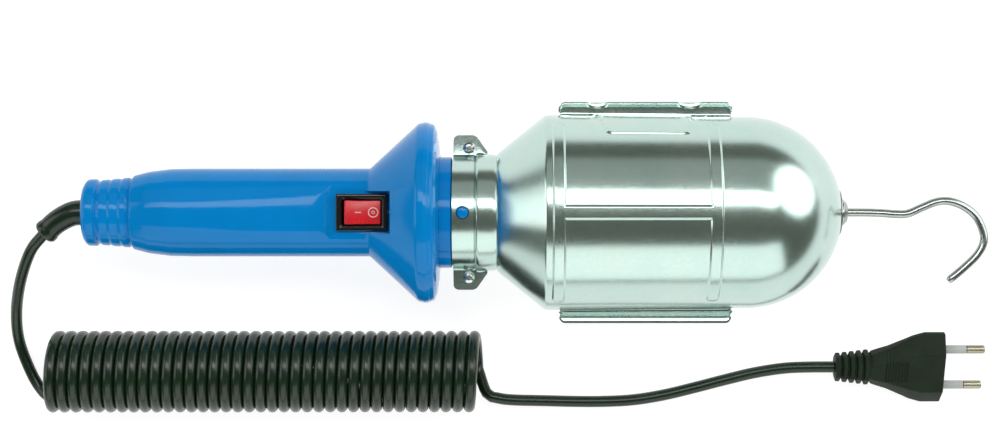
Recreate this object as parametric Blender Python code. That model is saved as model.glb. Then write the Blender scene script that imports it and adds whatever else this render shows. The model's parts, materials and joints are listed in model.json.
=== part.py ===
"""Corded inspection lamp: plastic handle with a rocker switch, steel reflector, hinged cage guard,
swivel hook, screw-in bulb and a curly mains cord with a two-pin plug.

Sizes below are in millimetres in the lamp's own frame: X runs along the lamp's axis towards the hook,
Y across it in the plane where reflector and guard meet, and Z up. That frame's origin is on the axis,
AXIS_HEIGHT above the surface that the lamp lies on. Cord and plug use heights above that surface.
"""
import math

import bmesh
import bpy
from mathutils import Matrix, Vector

MM = 0.001
GAP = 0.3

# Driving dimensions
LENGTH = 410.4
FLARE_RADIUS = 41.1
AXIS_HEIGHT = FLARE_RADIUS
TAIL_X = -LENGTH / 2
GRIP_RADIUS = 20.0
NECK_RADIUS = 25.2
SEAT_RADIUS = 23.9
SHEET = 0.9
COLLAR_RADIUS = 25.5
BARREL_START_X = 4.4
BARREL_RADIUS = 44.3
DOME_X = 94.8
DOME_RADIUS = 43.4
DOME_HOLE_RADIUS = 12.0
FLANGE_START_X = 10.7
FLANGE_END_X = 88.0
HALF_WIDTH = 50.2
HALF_SPLIT = 0.3
RIB_HEIGHT = 0.8
RIB_SLOPE = 1.2
REFLECTOR_RIBS = ((6.2, 12.3), (74.7, 80.9))
GUARD_RIBS = ((7.2, 13.9), (42.9, 49.6), (78.2, 85.8))
LONG_RIB_ANGLE = 85.5
LONG_RIB_TOP_ANGLE = 87.1
EAR_REACH = 35.1
EAR_START_X = -37.8
EAR_END_X = -22.3
CLAMP_X = -30.7
CLAMP_Y = 29.4
PEG_X = -33.3
HINGE_Y = 48.3
HINGE_Z = -2.2
KNUCKLE_RADIUS = 1.9
KNUCKLE_BORE = 1.2
REFLECTOR_KNUCKLES = ((24.0, 31.0), (65.0, 74.0))
GUARD_KNUCKLE = (32.2, 63.8)
SWITCH_X = -78.3
SWITCH_FLOOR = 16.0
BEZEL_LENGTH = 23.2
BEZEL_WIDTH = 16.6
BULB_TIP_X = -38.0
BULB_RADIUS = 30.0
BULB_LENGTH = 105.0
HOOK_WIRE_RADIUS = 1.9
HOOK_PLATE_X = 135.7
CORD_DIAMETER = 5.35
CORD_RADIUS = CORD_DIAMETER / 2
COIL_TURNS = 37
COIL_PITCH = 5.36
COIL_RADIUS = 19.1
COIL_START_X = -227.3
COIL_Y = -73.9
PLUG_X = 140.0
PLUG_Y = -72.3
PLUG_TILT = 24.0
PLUG_LENGTH = 50.4
PIN_SPACING = 18.6

ROUND = 32


# Materials: colour, roughness, metallic
def material(name, colour, roughness, metallic=0.0):
    shader = bpy.data.materials.new(name)
    shader.use_nodes = True
    principled = shader.node_tree.nodes["Principled BSDF"]
    principled.inputs["Base Color"].default_value = (*colour, 1.0)
    principled.inputs["Roughness"].default_value = roughness
    principled.inputs["Metallic"].default_value = metallic
    return shader


def make_materials():
    return {
        "blue": material("blue_plastic", (0.0, 0.195, 0.6), 0.25),
        "zinc": material("zinc_steel", (0.42, 0.55, 0.51), 0.3, 1.0),
        "bright": material("bright_steel", (0.66, 0.68, 0.68), 0.2, 1.0),
        "rubber": material("black_rubber", (0.02, 0.03, 0.024), 0.5),
        "black": material("black_plastic", (0.012, 0.012, 0.014), 0.4),
        "red": material("red_plastic", (0.65, 0.015, 0.03), 0.3),
        "brass": material("brass", (0.72, 0.52, 0.22), 0.3, 1.0),
        "ceramic": material("ceramic", (0.86, 0.84, 0.78), 0.3),
        "glass": material("glass", (0.95, 0.97, 0.97), 0.05),
        "aluminium": material("aluminium", (0.8, 0.8, 0.8), 0.35, 1.0),
        "tungsten": material("tungsten", (0.35, 0.34, 0.33), 0.5, 1.0),
        "sleeve": material("pin_sleeve", (0.5, 0.52, 0.5), 0.5),
        "brown_wire": material("brown_insulation", (0.18, 0.07, 0.03), 0.5),
        "blue_wire": material("blue_insulation", (0.03, 0.12, 0.45), 0.5),
    }


# Building blocks
def place(obj, shader, parent, origin):
    """Puts an object's origin at a point of its parent's frame, leaving its shape where it was drawn."""
    obj.data.transform(Matrix.Translation(-Vector(origin) * MM))
    obj.location = Vector(origin) * MM
    obj.parent = parent
    obj.data.materials.append(shader)
    bpy.context.collection.objects.link(obj)
    return obj


def solid(name, mesh, shader, parent, origin=(0, 0, 0)):
    """A closed body from a bmesh drawn in millimetres."""
    bmesh.ops.scale(mesh, vec=(MM, MM, MM), verts=mesh.verts)
    bmesh.ops.remove_doubles(mesh, verts=mesh.verts, dist=1e-6)
    bmesh.ops.recalc_face_normals(mesh, faces=mesh.faces)
    data = bpy.data.meshes.new(name)
    mesh.to_mesh(data)
    mesh.free()
    data.shade_smooth()
    data.set_sharp_from_angle(angle=math.radians(35))
    return place(bpy.data.objects.new(name, data), shader, parent, origin)


def turned(profile, segments=ROUND, centre=(0.0, 0.0), phase=0.0):
    """Turns a closed outline of (x, radius) points round an axis along X through (y, z)."""
    mesh = bmesh.new()
    points = [mesh.verts.new((x, 0, radius)) for x, radius in profile]
    edges = []
    for index, point in enumerate(points):
        following = points[(index + 1) % len(points)]
        if point.co.z > 0 or following.co.z > 0:
            edges.append(mesh.edges.new((point, following)))
    bmesh.ops.spin(mesh, geom=points + edges, cent=(0, 0, 0), axis=(1, 0, 0), dvec=(0, 0, 0),
                   angle=2 * math.pi, steps=segments, use_merge=True)
    bmesh.ops.rotate(mesh, cent=(0, 0, 0), verts=mesh.verts, matrix=Matrix.Rotation(phase, 3, "X"))
    bmesh.ops.translate(mesh, vec=(0, *centre), verts=mesh.verts)
    return mesh


def upright(profile, centre, segments=16):
    """Turns a closed outline of (height, radius) points round an axis along Z."""
    mesh = turned(profile, segments)
    bmesh.ops.rotate(mesh, cent=(0, 0, 0), verts=mesh.verts,
                     matrix=Matrix.Rotation(math.radians(-90), 3, "Y"))
    bmesh.ops.translate(mesh, vec=(*centre, 0), verts=mesh.verts)
    return mesh


def prism(outline, along, low, high):
    """Extrudes an outline along X, Y or Z; its points hold the other two coordinates in order."""
    corner = {"X": lambda a, b: (low, a, b), "Y": lambda a, b: (a, low, b), "Z": lambda a, b: (a, b, low)}
    mesh = bmesh.new()
    base = mesh.faces.new([mesh.verts.new(corner[along](a, b)) for a, b in outline])
    grown = bmesh.ops.extrude_face_region(mesh, geom=[base])
    shift = Vector([high - low if axis == along else 0 for axis in "XYZ"])
    moved = [item for item in grown["geom"] if isinstance(item, bmesh.types.BMVert)]
    bmesh.ops.translate(mesh, vec=shift, verts=moved)
    return mesh


def block(low, high):
    """A box between two corners."""
    outline = [(low[0], low[1]), (high[0], low[1]), (high[0], high[1]), (low[0], high[1])]
    return prism(outline, "Z", low[2], high[2])


def rod(start_x, end_x, radius, centre=(0.0, 0.0), segments=ROUND):
    """A plain cylinder along X, turned so that its edges miss those of the part it joins or cuts."""
    outline = [(start_x, 0), (start_x, radius), (end_x, radius), (end_x, 0)]
    return turned(outline, segments, centre, 0.37 * math.pi / segments)


def post(low, high, radius, centre, segments=16):
    return upright([(low, 0), (low, radius), (high, radius), (high, 0)], centre, segments)


def smooth_route(points, spacing):
    """Points about one spacing apart along a smooth curve through the route's own points."""
    knots = [Vector(point) for point in points]
    knots = [2 * knots[0] - knots[1]] + knots + [2 * knots[-1] - knots[-2]]
    route = [knots[1]]
    for before, start, end, after in zip(knots, knots[1:], knots[2:], knots[3:]):
        steps = max(1, round((end - start).length / spacing))
        for step in range(1, steps + 1):
            t = step / steps
            route.append(0.5 * (2 * start + (end - before) * t
                                + (2 * before - 5 * start + 4 * end - after) * t ** 2
                                + (3 * start - before - 3 * end + after) * t ** 3))
    return route


def swept(route, radii, sides, bore=None):
    """Sweeps rings of the given radii along a flat route, solid with end caps or hollow with a bore."""
    rows = list(enumerate(radii))
    if bore:
        rows += [(index, bore) for index in reversed(range(len(route)))]
    mesh = bmesh.new()
    rings = []
    for index, radius in rows:
        ahead = route[min(index + 1, len(route) - 1)] - route[max(index - 1, 0)]
        across = ahead.cross(Vector((0, 0, 1))).normalized()
        up = across.cross(ahead).normalized()
        ring = []
        for side in range(sides):
            turn = 2 * math.pi * side / sides
            ring.append(mesh.verts.new(route[index] + radius * (math.cos(turn) * across + math.sin(turn) * up)))
        rings.append(ring)
    pairs = zip(rings, rings[1:] + rings[:1]) if bore else zip(rings, rings[1:])
    for ring, following in pairs:
        for side in range(sides):
            after = (side + 1) % sides
            mesh.faces.new((ring[side], ring[after], following[after], following[side]))
    if not bore:
        mesh.faces.new(rings[0])
        mesh.faces.new(rings[-1])
    return mesh


def tube(name, route, radius, shader, parent, origin=(0, 0, 0), roundness=2):
    """A solid round wire, cord or cable along a route."""
    curve = bpy.data.curves.new(name, "CURVE")
    curve.dimensions = "3D"
    curve.bevel_depth = radius * MM
    curve.bevel_resolution = roundness
    curve.use_fill_caps = True
    spline = curve.splines.new("POLY")
    spline.points.add(len(route) - 1)
    for point, place_on_route in zip(spline.points, route):
        point.co = (*(Vector(place_on_route) * MM), 1)
    return place(bpy.data.objects.new(name, curve), shader, parent, origin)


def shape(target, mesh, operation):
    """Joins a bmesh to an object, or cuts it away, as a Boolean modifier with a hidden tool."""
    name = f"{target.name}_tool_{len(target.modifiers)}"
    tool = solid(name, mesh, target.data.materials[0], target.parent)
    tool.hide_render = True
    tool.display_type = "WIRE"
    modifier = target.modifiers.new(name, "BOOLEAN")
    modifier.operation = operation
    modifier.object = tool


def join(target, mesh):
    shape(target, mesh, "UNION")


def cut(target, mesh):
    shape(target, mesh, "DIFFERENCE")


# Handle
def tail_ridges():
    """Three moulded ridges that step up from the tail bead to the grip."""
    outline = []
    for index in range(3):
        start = -198.0 + 4.8 * index
        radius = 14.8 + 0.45 * index
        outline += [(start, radius - 0.7), (start + 1.2, radius), (start + 3.8, radius + 0.2)]
    return outline


def handle_profile():
    outside = [(TAIL_X, 12.6), (TAIL_X + 1.4, 14.3), (TAIL_X + 3.6, 15.2), (-199.2, 15.1)]
    outside += tail_ridges()
    outside += [(-183.8, 15.4), (-182.2, 17.2), (-175.7, 18.6), (-168.0, 19.5), (-160.0, GRIP_RADIUS)]
    outside += [(-75.4, GRIP_RADIUS), (-73.6, 21.0), (-54.6, 39.4), (-52.4, 40.8), (-50.0, FLARE_RADIUS)]
    outside += [(-48.6, 40.8), (-48.0, 40.2), (-48.6, 38.4)]
    behind_cover = [(-53.5, 36.2), (-62.0, 28.4), (-60.0, 27.0), (-49.0, NECK_RADIUS)]
    neck = [(-38.6, NECK_RADIUS), (-38.3, SEAT_RADIUS), (-16.6, SEAT_RADIUS), (-16.0, 23.3), (-16.0, 21.4)]
    inside = [(-60.6, 21.4), (-60.6, 15.8), (-67.5, 15.8), (-68.5, 17.2), (-174.0, 16.4), (-184.0, 11.4)]
    inside += [(-200.7, 11.4), (-200.7, 6.2), (TAIL_X, 6.2)]
    return outside + behind_cover + neck + inside


def make_handle(shades, frame):
    handle = solid("handle", turned(handle_profile()), shades["blue"], frame)
    backing_radius = 18.7
    arc = [math.radians(angle) for angle in (53, 66, 80, 100, 114, 127)]
    backing = [(-11.2, 13.2), (11.2, 13.2)]
    backing += [(backing_radius * math.cos(angle), backing_radius * math.sin(angle)) for angle in arc]
    join(handle, prism(backing, "X", -108.5, -62.5))
    thumb_scoop = [(-107.0, 20.3), (-101.0, 19.1), (-94.7, 17.6), (-92.6, SWITCH_FLOOR),
                   (-66.2, SWITCH_FLOOR), (-65.0, 31.0), (-65.0, 50.0), (-107.0, 50.0)]
    cut(handle, prism(thumb_scoop, "Y", -12.2, 12.2))
    cut(handle, block((SWITCH_X - 9.95, -6.7, 10.0), (SWITCH_X + 9.95, 6.7, 22.0)))
    peg = [(22.5, 0), (22.5, 2.6), (26.0, 2.6), (26.6, 1.9), (26.8, 0)]
    join(handle, upright(peg, (PEG_X, 0)))
    for side in (-1, 1):
        cut(handle, rod(-70.0, -59.0, 1.6, (0, 18.4 * side), 12))
    return handle


def make_flare_cover(shades, frame):
    """Dished disc that covers the flare's open front and slips over the neck."""
    front = [(-47.5, 39.9), (-46.0, 39.0), (-45.0, 36.6), (-44.2, 31.0), (-43.7, NECK_RADIUS + GAP)]
    back = [(-44.4, NECK_RADIUS + GAP), (-44.9, 31.0), (-45.7, 36.3), (-46.5, 38.2), (-47.8, 39.1)]
    solid("flare_cover", turned(front + back), shades["blue"], frame)


# Cord entry and inner wiring
BOOT_ROUTE = ((-205.0, 0, 0), (-211.0, -0.6, -0.1), (-218.0, -4.2, -0.9), (-224.2, -9.6, -2.2))


def make_cord_entry(shades, frame):
    flange = [(-197.4, 3.0), (-197.4, 9.0), (-200.4, 9.0), (-200.4, 5.85), (-206.0, 5.85), (-206.0, 3.0)]
    boot = solid("cable_boot", turned(flange, 14), shades["rubber"], frame)
    route = smooth_route(BOOT_ROUTE, 3.6)
    taper = [5.85 - 0.65 * index / (len(route) - 1) for index in range(len(route))]
    lip = [0.5 if index >= len(route) - 2 else 0.0 for index in range(len(route))]
    join(boot, swept(route, [radius + extra for radius, extra in zip(taper, lip)], 14, 3.0))
    inner_end = [(-182.0, 0, 0), (-204.0, 0, 0), *BOOT_ROUTE[1:3], (-222.9, -8.5, -1.9)]
    tube("cord_inner_end", smooth_route(inner_end, 6), CORD_RADIUS, shades["rubber"], frame)
    stop = [(-197.0, CORD_RADIUS + GAP), (-197.0, 7.4), (-189.0, 7.4), (-189.0, CORD_RADIUS + GAP)]
    solid("cord_stop_ring", turned(stop, 16), shades["black"], frame)


def make_wires(shades, frame):
    line = ((-181.6, 1.2, 0.6), (-165, 4, 2), (-130, 5, 0), (-100, 3, -6), (-83.1, 0.5, -7.5), (-79.3, 0, -5.4))
    neutral = ((-181.6, -1.2, -0.6), (-165, -4, -3), (-125, -6, -9), (-90, -6, -12), (-70, -8, -8),
               (-64, -10, -1.5), (-63.4, -10, 0))
    switched = ((-71.3, 0, -5.4), (-68.9, 2.5, -7.5), (-66.2, 8, -6), (-63.6, 10, -1.5), (-63.4, 10, 0))
    tube("wire_line", smooth_route(line, 12), 1.0, shades["brown_wire"], frame, roundness=1)
    tube("wire_neutral", smooth_route(neutral, 12), 1.0, shades["blue_wire"], frame, roundness=1)
    tube("wire_switched", smooth_route(switched, 5), 1.0, shades["brown_wire"], frame, roundness=1)


# Rocker switch
ROCKER_PIVOT_Z = 16.2
ROCKER_TILT = 11.0
BRIDGE_PIVOT_Z = 8.0
BRIDGE_TILT = 4.0


def tilted(mesh, degrees, pivot):
    bmesh.ops.rotate(mesh, cent=pivot, verts=mesh.verts, matrix=Matrix.Rotation(math.radians(degrees), 3, "Y"))
    return mesh


def make_switch(shades, frame):
    half_length = BEZEL_LENGTH / 2
    half_width = BEZEL_WIDTH / 2
    bezel_low = SWITCH_FLOOR + GAP
    bezel = block((SWITCH_X - half_length, -half_width, bezel_low),
                  (SWITCH_X + half_length, half_width, bezel_low + 2.1))
    housing = solid("switch_housing", bezel, shades["black"], frame)
    join(housing, block((SWITCH_X - 9.6, -6.4, 3.0), (SWITCH_X + 9.6, 6.4, bezel_low + 0.4)))
    cut(housing, block((SWITCH_X - 8.9, -5.6, 4.6), (SWITCH_X + 8.9, 5.6, 20.0)))
    pivot_hole = prism(ring_points(1.25, 12, (SWITCH_X, ROCKER_PIVOT_Z)), "Y", -6.15, 6.15)
    cut(housing, pivot_hole)
    for offset in (0.0, 6.0):
        cut(housing, block((SWITCH_X + offset - 0.8, -2.8, 2.0), (SWITCH_X + offset + 0.8, 2.8, 5.0)))

    pivot = (SWITCH_X, 0, ROCKER_PIVOT_Z)
    top = [(-8.2, 2.6), (-8.0, 3.3), (-4.0, 2.5), (0, 2.2), (4.0, 2.5), (8.0, 3.3), (8.2, 2.6)]
    underside = [(7.4, -2.0), (2.2, -3.4), (-2.2, -3.4), (-7.4, -2.0)]
    side_view = [(SWITCH_X + x, ROCKER_PIVOT_Z + z) for x, z in top + underside]
    rocker = solid("switch_rocker", tilted(prism(side_view, "Y", -5.25, 5.25), ROCKER_TILT, pivot),
                   shades["red"], frame, pivot)
    join(rocker, prism(ring_points(0.95, 12, (SWITCH_X, ROCKER_PIVOT_Z)), "Y", -5.9, 5.9))
    plunger_bore = post(ROCKER_PIVOT_Z - 5.0, ROCKER_PIVOT_Z + 0.4, 1.45, (SWITCH_X, 0), 12)
    cut(rocker, tilted(plunger_bore, ROCKER_TILT, pivot))
    plunger = upright([(8.7, 0), (9.0, 0.8), (9.6, 1.1), (15.9, 1.1), (15.9, 0)], (SWITCH_X, 0), 12)
    solid("switch_plunger", tilted(plunger, ROCKER_TILT, pivot), shades["brass"], frame, pivot)

    bridge_pivot = (SWITCH_X, 0, BRIDGE_PIVOT_Z)
    bridge = block((SWITCH_X - 7.0, -2.2, BRIDGE_PIVOT_Z - 0.3), (SWITCH_X + 7.0, 2.2, BRIDGE_PIVOT_Z + 0.3))
    solid("switch_bridge", tilted(bridge, -BRIDGE_TILT, bridge_pivot), shades["brass"], frame, bridge_pivot)
    line_terminal = block((SWITCH_X - 0.4, -2.4, -4.0), (SWITCH_X + 0.4, 2.4, BRIDGE_PIVOT_Z - 0.65))
    solid("switch_terminal_line", line_terminal, shades["brass"], frame)
    load_terminal = block((SWITCH_X + 5.6, -2.4, -4.0), (SWITCH_X + 6.4, 2.4, BRIDGE_PIVOT_Z - 1.1))
    solid("switch_terminal_load", load_terminal, shades["brass"], frame)


def ring_points(radius, sides, centre=(0.0, 0.0)):
    """Corners of a regular polygon."""
    turns = [2 * math.pi * side / sides for side in range(sides)]
    return [(centre[0] + radius * math.cos(turn), centre[1] + radius * math.sin(turn)) for turn in turns]


# Lampholder and bulb
def make_lampholder(shades, frame):
    body = [(-13.2, 15.6), (-13.2, 19.8), (-14.2, 20.8), (-60.0, 20.8), (-60.0, 0), (-43.0, 0), (-43.0, 15.0)]
    holder = solid("lampholder_body", turned(body, 24), shades["ceramic"], frame)
    for side in (-1, 1):
        cut(holder, rod(-61.0, -12.0, 1.6, (0, 18.4 * side), 12))
        cut(holder, rod(-61.0, -52.0, 3.6, (10.0 * side, 0), 16))
        screw = [(-12.9, 0), (-12.9, 1.6), (-11.9, 2.2), (-11.5, 0)]
        shank = [(-66.0, 0), (-66.0, 1.3), (-12.9, 1.3)]
        solid(f"lampholder_screw_{'ba'[side > 0]}", turned(shank + screw[1:], 12, (0, 18.4 * side)),
              shades["bright"], frame)
        terminal = [(-62.2, 0), (-62.2, 2.6), (-60.4, 2.9), (-60.4, 1.5), (-53.5, 1.5), (-53.5, 0)]
        solid(f"lampholder_terminal_{'ba'[side > 0]}", turned(terminal, 12, (10.0 * side, 0)),
              shades["brass"], frame)
    shell = [(-16.0, 14.05), (-16.0, 14.65), (-42.4, 14.65), (-42.4, 14.05)]
    solid("lampholder_shell", turned(shell, 24), shades["brass"], frame)
    leaf = [(-42.6, -9.0), (-42.6, -1.6), (-39.6, 3.3), (-39.0, 5.4), (-38.4, 5.4), (-39.0, 3.0),
            (-42.0, -1.9), (-42.0, -9.0)]
    solid("lampholder_contact", prism(leaf, "Z", -2.6, 2.6), shades["brass"], frame)


def glass_profile():
    """Outside of an A60 bulb as (distance from its tip contact, radius)."""
    neck = [(24.5, 11.8), (27.8, 12.2), (36.0, 16.8), (44.0, 21.2), (52.0, 25.4), (60.0, 28.5)]
    centre = BULB_LENGTH - BULB_RADIUS
    round_end = [(centre + BULB_RADIUS * math.sin(math.radians(angle)),
                  BULB_RADIUS * math.cos(math.radians(angle))) for angle in range(-15, 91, 15)]
    return neck + round_end


def make_bulb(shades, frame):
    axis_point = (BULB_TIP_X, 0, 0)

    def turned_part(name, profile, shader, segments=18):
        moved = [(BULB_TIP_X + x, radius) for x, radius in profile]
        solid(name, turned(moved, segments), shades[shader], frame, axis_point)

    outside = glass_profile()
    wall = 0.8
    inside = [(x - wall * max(0.0, (x - 60.0) / (BULB_LENGTH - 60.0)), max(radius - wall, 0.0))
              for x, radius in outside]
    turned_part("bulb_glass", outside + inside[::-1], "glass")
    cap = [(2.6, 8.6), (4.2, 12.4), (6.0, 13.0), (25.6, 13.0), (27.0, 13.3), (27.0, 12.6),
           (5.6, 12.4), (3.8, 11.6), (3.1, 8.2)]
    turned_part("bulb_cap", cap, "aluminium")
    turned_part("bulb_insulator", [(0.9, 5.1), (1.2, 6.5), (2.9, 8.0), (3.6, 5.1)], "black")
    turned_part("bulb_tip_contact", [(0, 0), (0.3, 3.6), (1.0, 4.7), (2.4, 4.7), (2.4, 0)], "bright", 12)
    stem = [(25.0, 9.6), (31.0, 7.4), (38.0, 4.6), (46.0, 3.6), (52.0, 3.9), (56.0, 1.6), (70.0, 1.3),
            (71.0, 0), (50.0, 0), (30.0, 5.4), (25.0, 8.8)]
    turned_part("bulb_stem", stem, "glass", 10)
    for side, letter in ((1, "a"), (-1, "b")):
        lead = [(52.5, 4.6 * side, 0), (58.0, 8.0 * side, 0), (70.0, 14.0 * side, 0), (75.4, 16.3 * side, 0)]
        route = [(BULB_TIP_X + x, y, z) for x, y, z in lead]
        tube(f"bulb_lead_{letter}", route, 0.35, shades["bright"], frame, axis_point, 0)
    filament = []
    for step in range(13):
        share = step / 6 - 1
        filament.append((BULB_TIP_X + 76.6 - 3.4 * (1 - share ** 2), 16.3 * share, 0))
    tube("bulb_filament", filament, 0.45, shades["tungsten"], frame, axis_point, 0)


# Reflector and guard, both pressed from sheet
SHELL_PROFILE = ((-38.0, COLLAR_RADIUS), (-28.2, COLLAR_RADIUS), (-27.3, COLLAR_RADIUS - 0.2),
                 (-26.2, 26.4), (-18.6, 26.4), (-17.4, 27.1), (3.2, 43.7), (BARREL_START_X, BARREL_RADIUS),
                 (DOME_X, DOME_RADIUS))


def shell_radius(x):
    """Outer radius of the pressed shell at a distance along the lamp's axis."""
    if x > DOME_X:
        return math.sqrt(max(0.0, DOME_RADIUS ** 2 - (x - DOME_X) ** 2))
    for (start, radius), (end, following) in zip(SHELL_PROFILE, SHELL_PROFILE[1:]):
        if x <= end:
            return radius + (following - radius) * (x - start) / (end - start)
    return DOME_RADIUS


def dome_stations(last_radius):
    last_angle = math.degrees(math.acos(last_radius / DOME_RADIUS))
    angles = [16, 31, 45, 58, last_angle]
    return [DOME_X + DOME_RADIUS * math.sin(math.radians(angle)) for angle in angles]


def plateau(value, start, end, slope):
    """Rises from 0 to 1 just after start, and falls back to 0 just before end."""
    return max(0.0, min(1.0, (value - start) / slope, (end - value) / slope))


def rib_rise(x, angle, ribs, reach):
    """Height of the pressed ribs: rings across the shell, joined by one rib along its crest."""
    across = plateau(angle, reach, 180 - reach, 3.0)
    rise = max(plateau(x, start, end, RIB_SLOPE) * across for start, end in ribs)
    crest = plateau(angle, LONG_RIB_ANGLE, 180 - LONG_RIB_ANGLE, LONG_RIB_TOP_ANGLE - LONG_RIB_ANGLE)
    if ribs[0][0] < x < ribs[-1][1]:
        rise = max(rise, crest)
    return RIB_HEIGHT * rise


def guard_depth(x):
    """How much shallower the guard is than the reflector, so that its crest lies level with the flare."""
    def depth(at_x):
        crest = (shell_radius(at_x) + RIB_HEIGHT) * math.sin(math.radians(LONG_RIB_TOP_ANGLE))
        return (AXIS_HEIGHT - HALF_SPLIT) / crest
    if x <= -17.4:
        return 1.0
    if x < BARREL_START_X:
        return 1.0 + (depth(BARREL_START_X) - 1.0) * (x + 17.4) / (BARREL_START_X + 17.4)
    return depth(min(x, DOME_X))


def flange_edge(x, reach):
    """Distance from the axis to the outer edge of an ear or a side flange, or None between them."""
    ear = ((EAR_START_X, 33.2), (-36.0, EAR_REACH), (-27.6, EAR_REACH), (EAR_END_X, 27.6))
    side = ((FLANGE_START_X, reach - 2.6), (13.4, reach), (85.4, reach), (FLANGE_END_X, reach - 2.6))
    for outline in (ear, side):
        for (start, edge), (end, following) in zip(outline, outline[1:]):
            if start - 1e-6 <= x <= end + 1e-6:
                return edge + (following - edge) * (x - start) / (end - start)
    return None


def pressed_half(name, side, stations, angles, ribs, rib_reach, reaches, windows, shader, frame):
    """A half shell with its ears and flanges in one sheet. side is 1 above the split plane, -1 below."""
    def surface(x, angle):
        radius = shell_radius(x) + rib_rise(x, angle, ribs, rib_reach)
        depth = guard_depth(x) if side < 0 else 1.0
        rim = HALF_SPLIT
        if angle in (0, 180) and flange_edge(x, HALF_WIDTH) is not None:
            rim += SHEET
        turn = math.radians(angle)
        return (x, radius * math.cos(turn), side * (rim + radius * math.sin(turn) * depth))

    def flange(x, sign, share):
        edge = flange_edge(x, reaches[sign])
        if edge is None:
            return None
        root = shell_radius(x)
        lip = 1.1 if share == 1 and x > 0 and side > 0 else 0.0
        return (x, sign * (root + (edge - root) * share), side * (HALF_SPLIT + SHEET + lip))

    def open_cell(x, following, angle, after):
        middle_x = (x + following) / 2
        middle = (angle + after) / 2
        return any(low < middle_x < high and first < middle < last for low, high, first, last in windows)

    mesh = bmesh.new()
    rows = []
    for x in stations:
        points = [flange(x, 1, 1.0), flange(x, 1, 0.72)]
        points += [surface(x, angle) for angle in angles]
        points += [flange(x, -1, 0.72), flange(x, -1, 1.0)]
        rows.append([point and mesh.verts.new(point) for point in points])
    first_angle = 2
    for row, following, x, next_x in zip(rows, rows[1:], stations, stations[1:]):
        for column in range(len(row) - 1):
            corners = (row[column], row[column + 1], following[column + 1], following[column])
            if None in corners:
                continue
            index = column - first_angle
            on_shell = 0 <= index < len(angles) - 1
            if on_shell and open_cell(x, next_x, angles[index], angles[index + 1]):
                continue
            mesh.faces.new(corners)
    loose = [vertex for vertex in mesh.verts if not vertex.link_faces]
    bmesh.ops.delete(mesh, geom=loose, context="VERTS")
    half = solid(name, mesh, shader, frame)
    outward = half.data.polygons[len(half.data.polygons) // 2]
    away = Vector((0, outward.center.y, outward.center.z))
    if outward.normal.dot(away) < 0:
        half.data.flip_normals()
    thickness = half.modifiers.new("sheet", "SOLIDIFY")
    thickness.thickness = SHEET * MM
    thickness.offset = -1
    thickness.use_even_offset = True
    return half


def mirrored(angles):
    return [*angles, *(180 - angle for angle in reversed(angles) if angle < 90)]


def drill_clamp_holes(half, radius):
    for side in (-1, 1):
        cut(half, post(-4.0, 4.0, radius, (CLAMP_X, CLAMP_Y * side)))


def add_knuckles(half, spans, plate_z):
    """Rolls each span of the flange's edge round the hinge pin."""
    for start, end in spans:
        join(half, rod(start, end, KNUCKLE_RADIUS, (HINGE_Y, HINGE_Z), 16))
        low, high = sorted((HINGE_Z + 1.3, plate_z))
        join(half, block((start, HINGE_Y - 1.5, low), (end, HINGE_Y + 1.0, high)))
    low = spans[0][0] - 1
    high = spans[-1][1] + 1
    cut(half, rod(low, high, KNUCKLE_BORE, (HINGE_Y, HINGE_Z), 16))


def make_reflector(shades, frame):
    stations = [-38.0, EAR_START_X, -36.0, -32.0, -28.2, -27.6, -27.3, -26.2, EAR_END_X, -18.6, -17.4, -7.0,
                3.2, BARREL_START_X]
    for start, end in REFLECTOR_RIBS:
        stations += [start, start + RIB_SLOPE, end - RIB_SLOPE, end]
    stations += [FLANGE_START_X, 13.4, 36.0, 60.0, 85.4, FLANGE_END_X, DOME_X]
    stations += dome_stations(DOME_HOLE_RADIUS - 0.6)
    angles = mirrored((0, 10, 20, 30, 33, 46, 60, 73, LONG_RIB_ANGLE, LONG_RIB_TOP_ANGLE))
    reaches = {1: HALF_WIDTH, -1: HALF_WIDTH - 2.7}
    half = pressed_half("reflector_shell", 1, sorted(set(stations)), angles, REFLECTOR_RIBS, 30, reaches, (),
                        shades["zinc"], frame)
    end_disc = [(HOOK_PLATE_X, 3.3), (HOOK_PLATE_X, DOME_HOLE_RADIUS),
                (HOOK_PLATE_X + SHEET, DOME_HOLE_RADIUS), (HOOK_PLATE_X + SHEET, 3.3)]
    join(half, turned(end_disc, 24))
    cut(half, post(20.0, 30.0, 2.95, (PEG_X, 0)))
    drill_clamp_holes(half, 1.8)
    add_knuckles(half, REFLECTOR_KNUCKLES, 0.7)


def guard_windows():
    """Punched windows as (start x, end x, start angle, end angle), two bays and the dome."""
    bays = ((15.4, 41.4), (51.1, 76.7), (103.0, 130.0))
    sectors = ((12, 41), (49, 82), (98, 131), (139, 168))
    return [(*bay, *sector) for bay in bays for sector in sectors]


def make_guard(shades, frame):
    stations = [-38.0, EAR_START_X, -36.0, -32.0, -28.2, -27.6, -27.3, -26.2, EAR_END_X, -18.6, -17.4, -7.0,
                3.2, BARREL_START_X]
    for start, end in GUARD_RIBS:
        stations += [start, start + RIB_SLOPE, end - RIB_SLOPE, end]
    stations += [FLANGE_START_X, 15.4, 28.4, 41.4, 51.1, 64.0, 76.7, 85.4, FLANGE_END_X, DOME_X]
    stations += dome_stations(DOME_HOLE_RADIUS + 2.8)
    angles = mirrored((0, 12, 21, 31, 41, 49, 60, 71, 82, LONG_RIB_ANGLE, LONG_RIB_TOP_ANGLE))
    reaches = {1: HINGE_Y, -1: HALF_WIDTH}
    half = pressed_half("front_guard", -1, sorted(set(stations)), angles, GUARD_RIBS, 21, reaches, guard_windows(),
                        shades["zinc"], frame)
    drill_clamp_holes(half, 2.1)
    for start, end in REFLECTOR_KNUCKLES:
        cut(half, block((start - 0.7, HINGE_Y - 2.6, -6.0), (end + 0.7, HINGE_Y + 3.0, 1.0)))
    add_knuckles(half, (GUARD_KNUCKLE,), -0.5)


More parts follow.
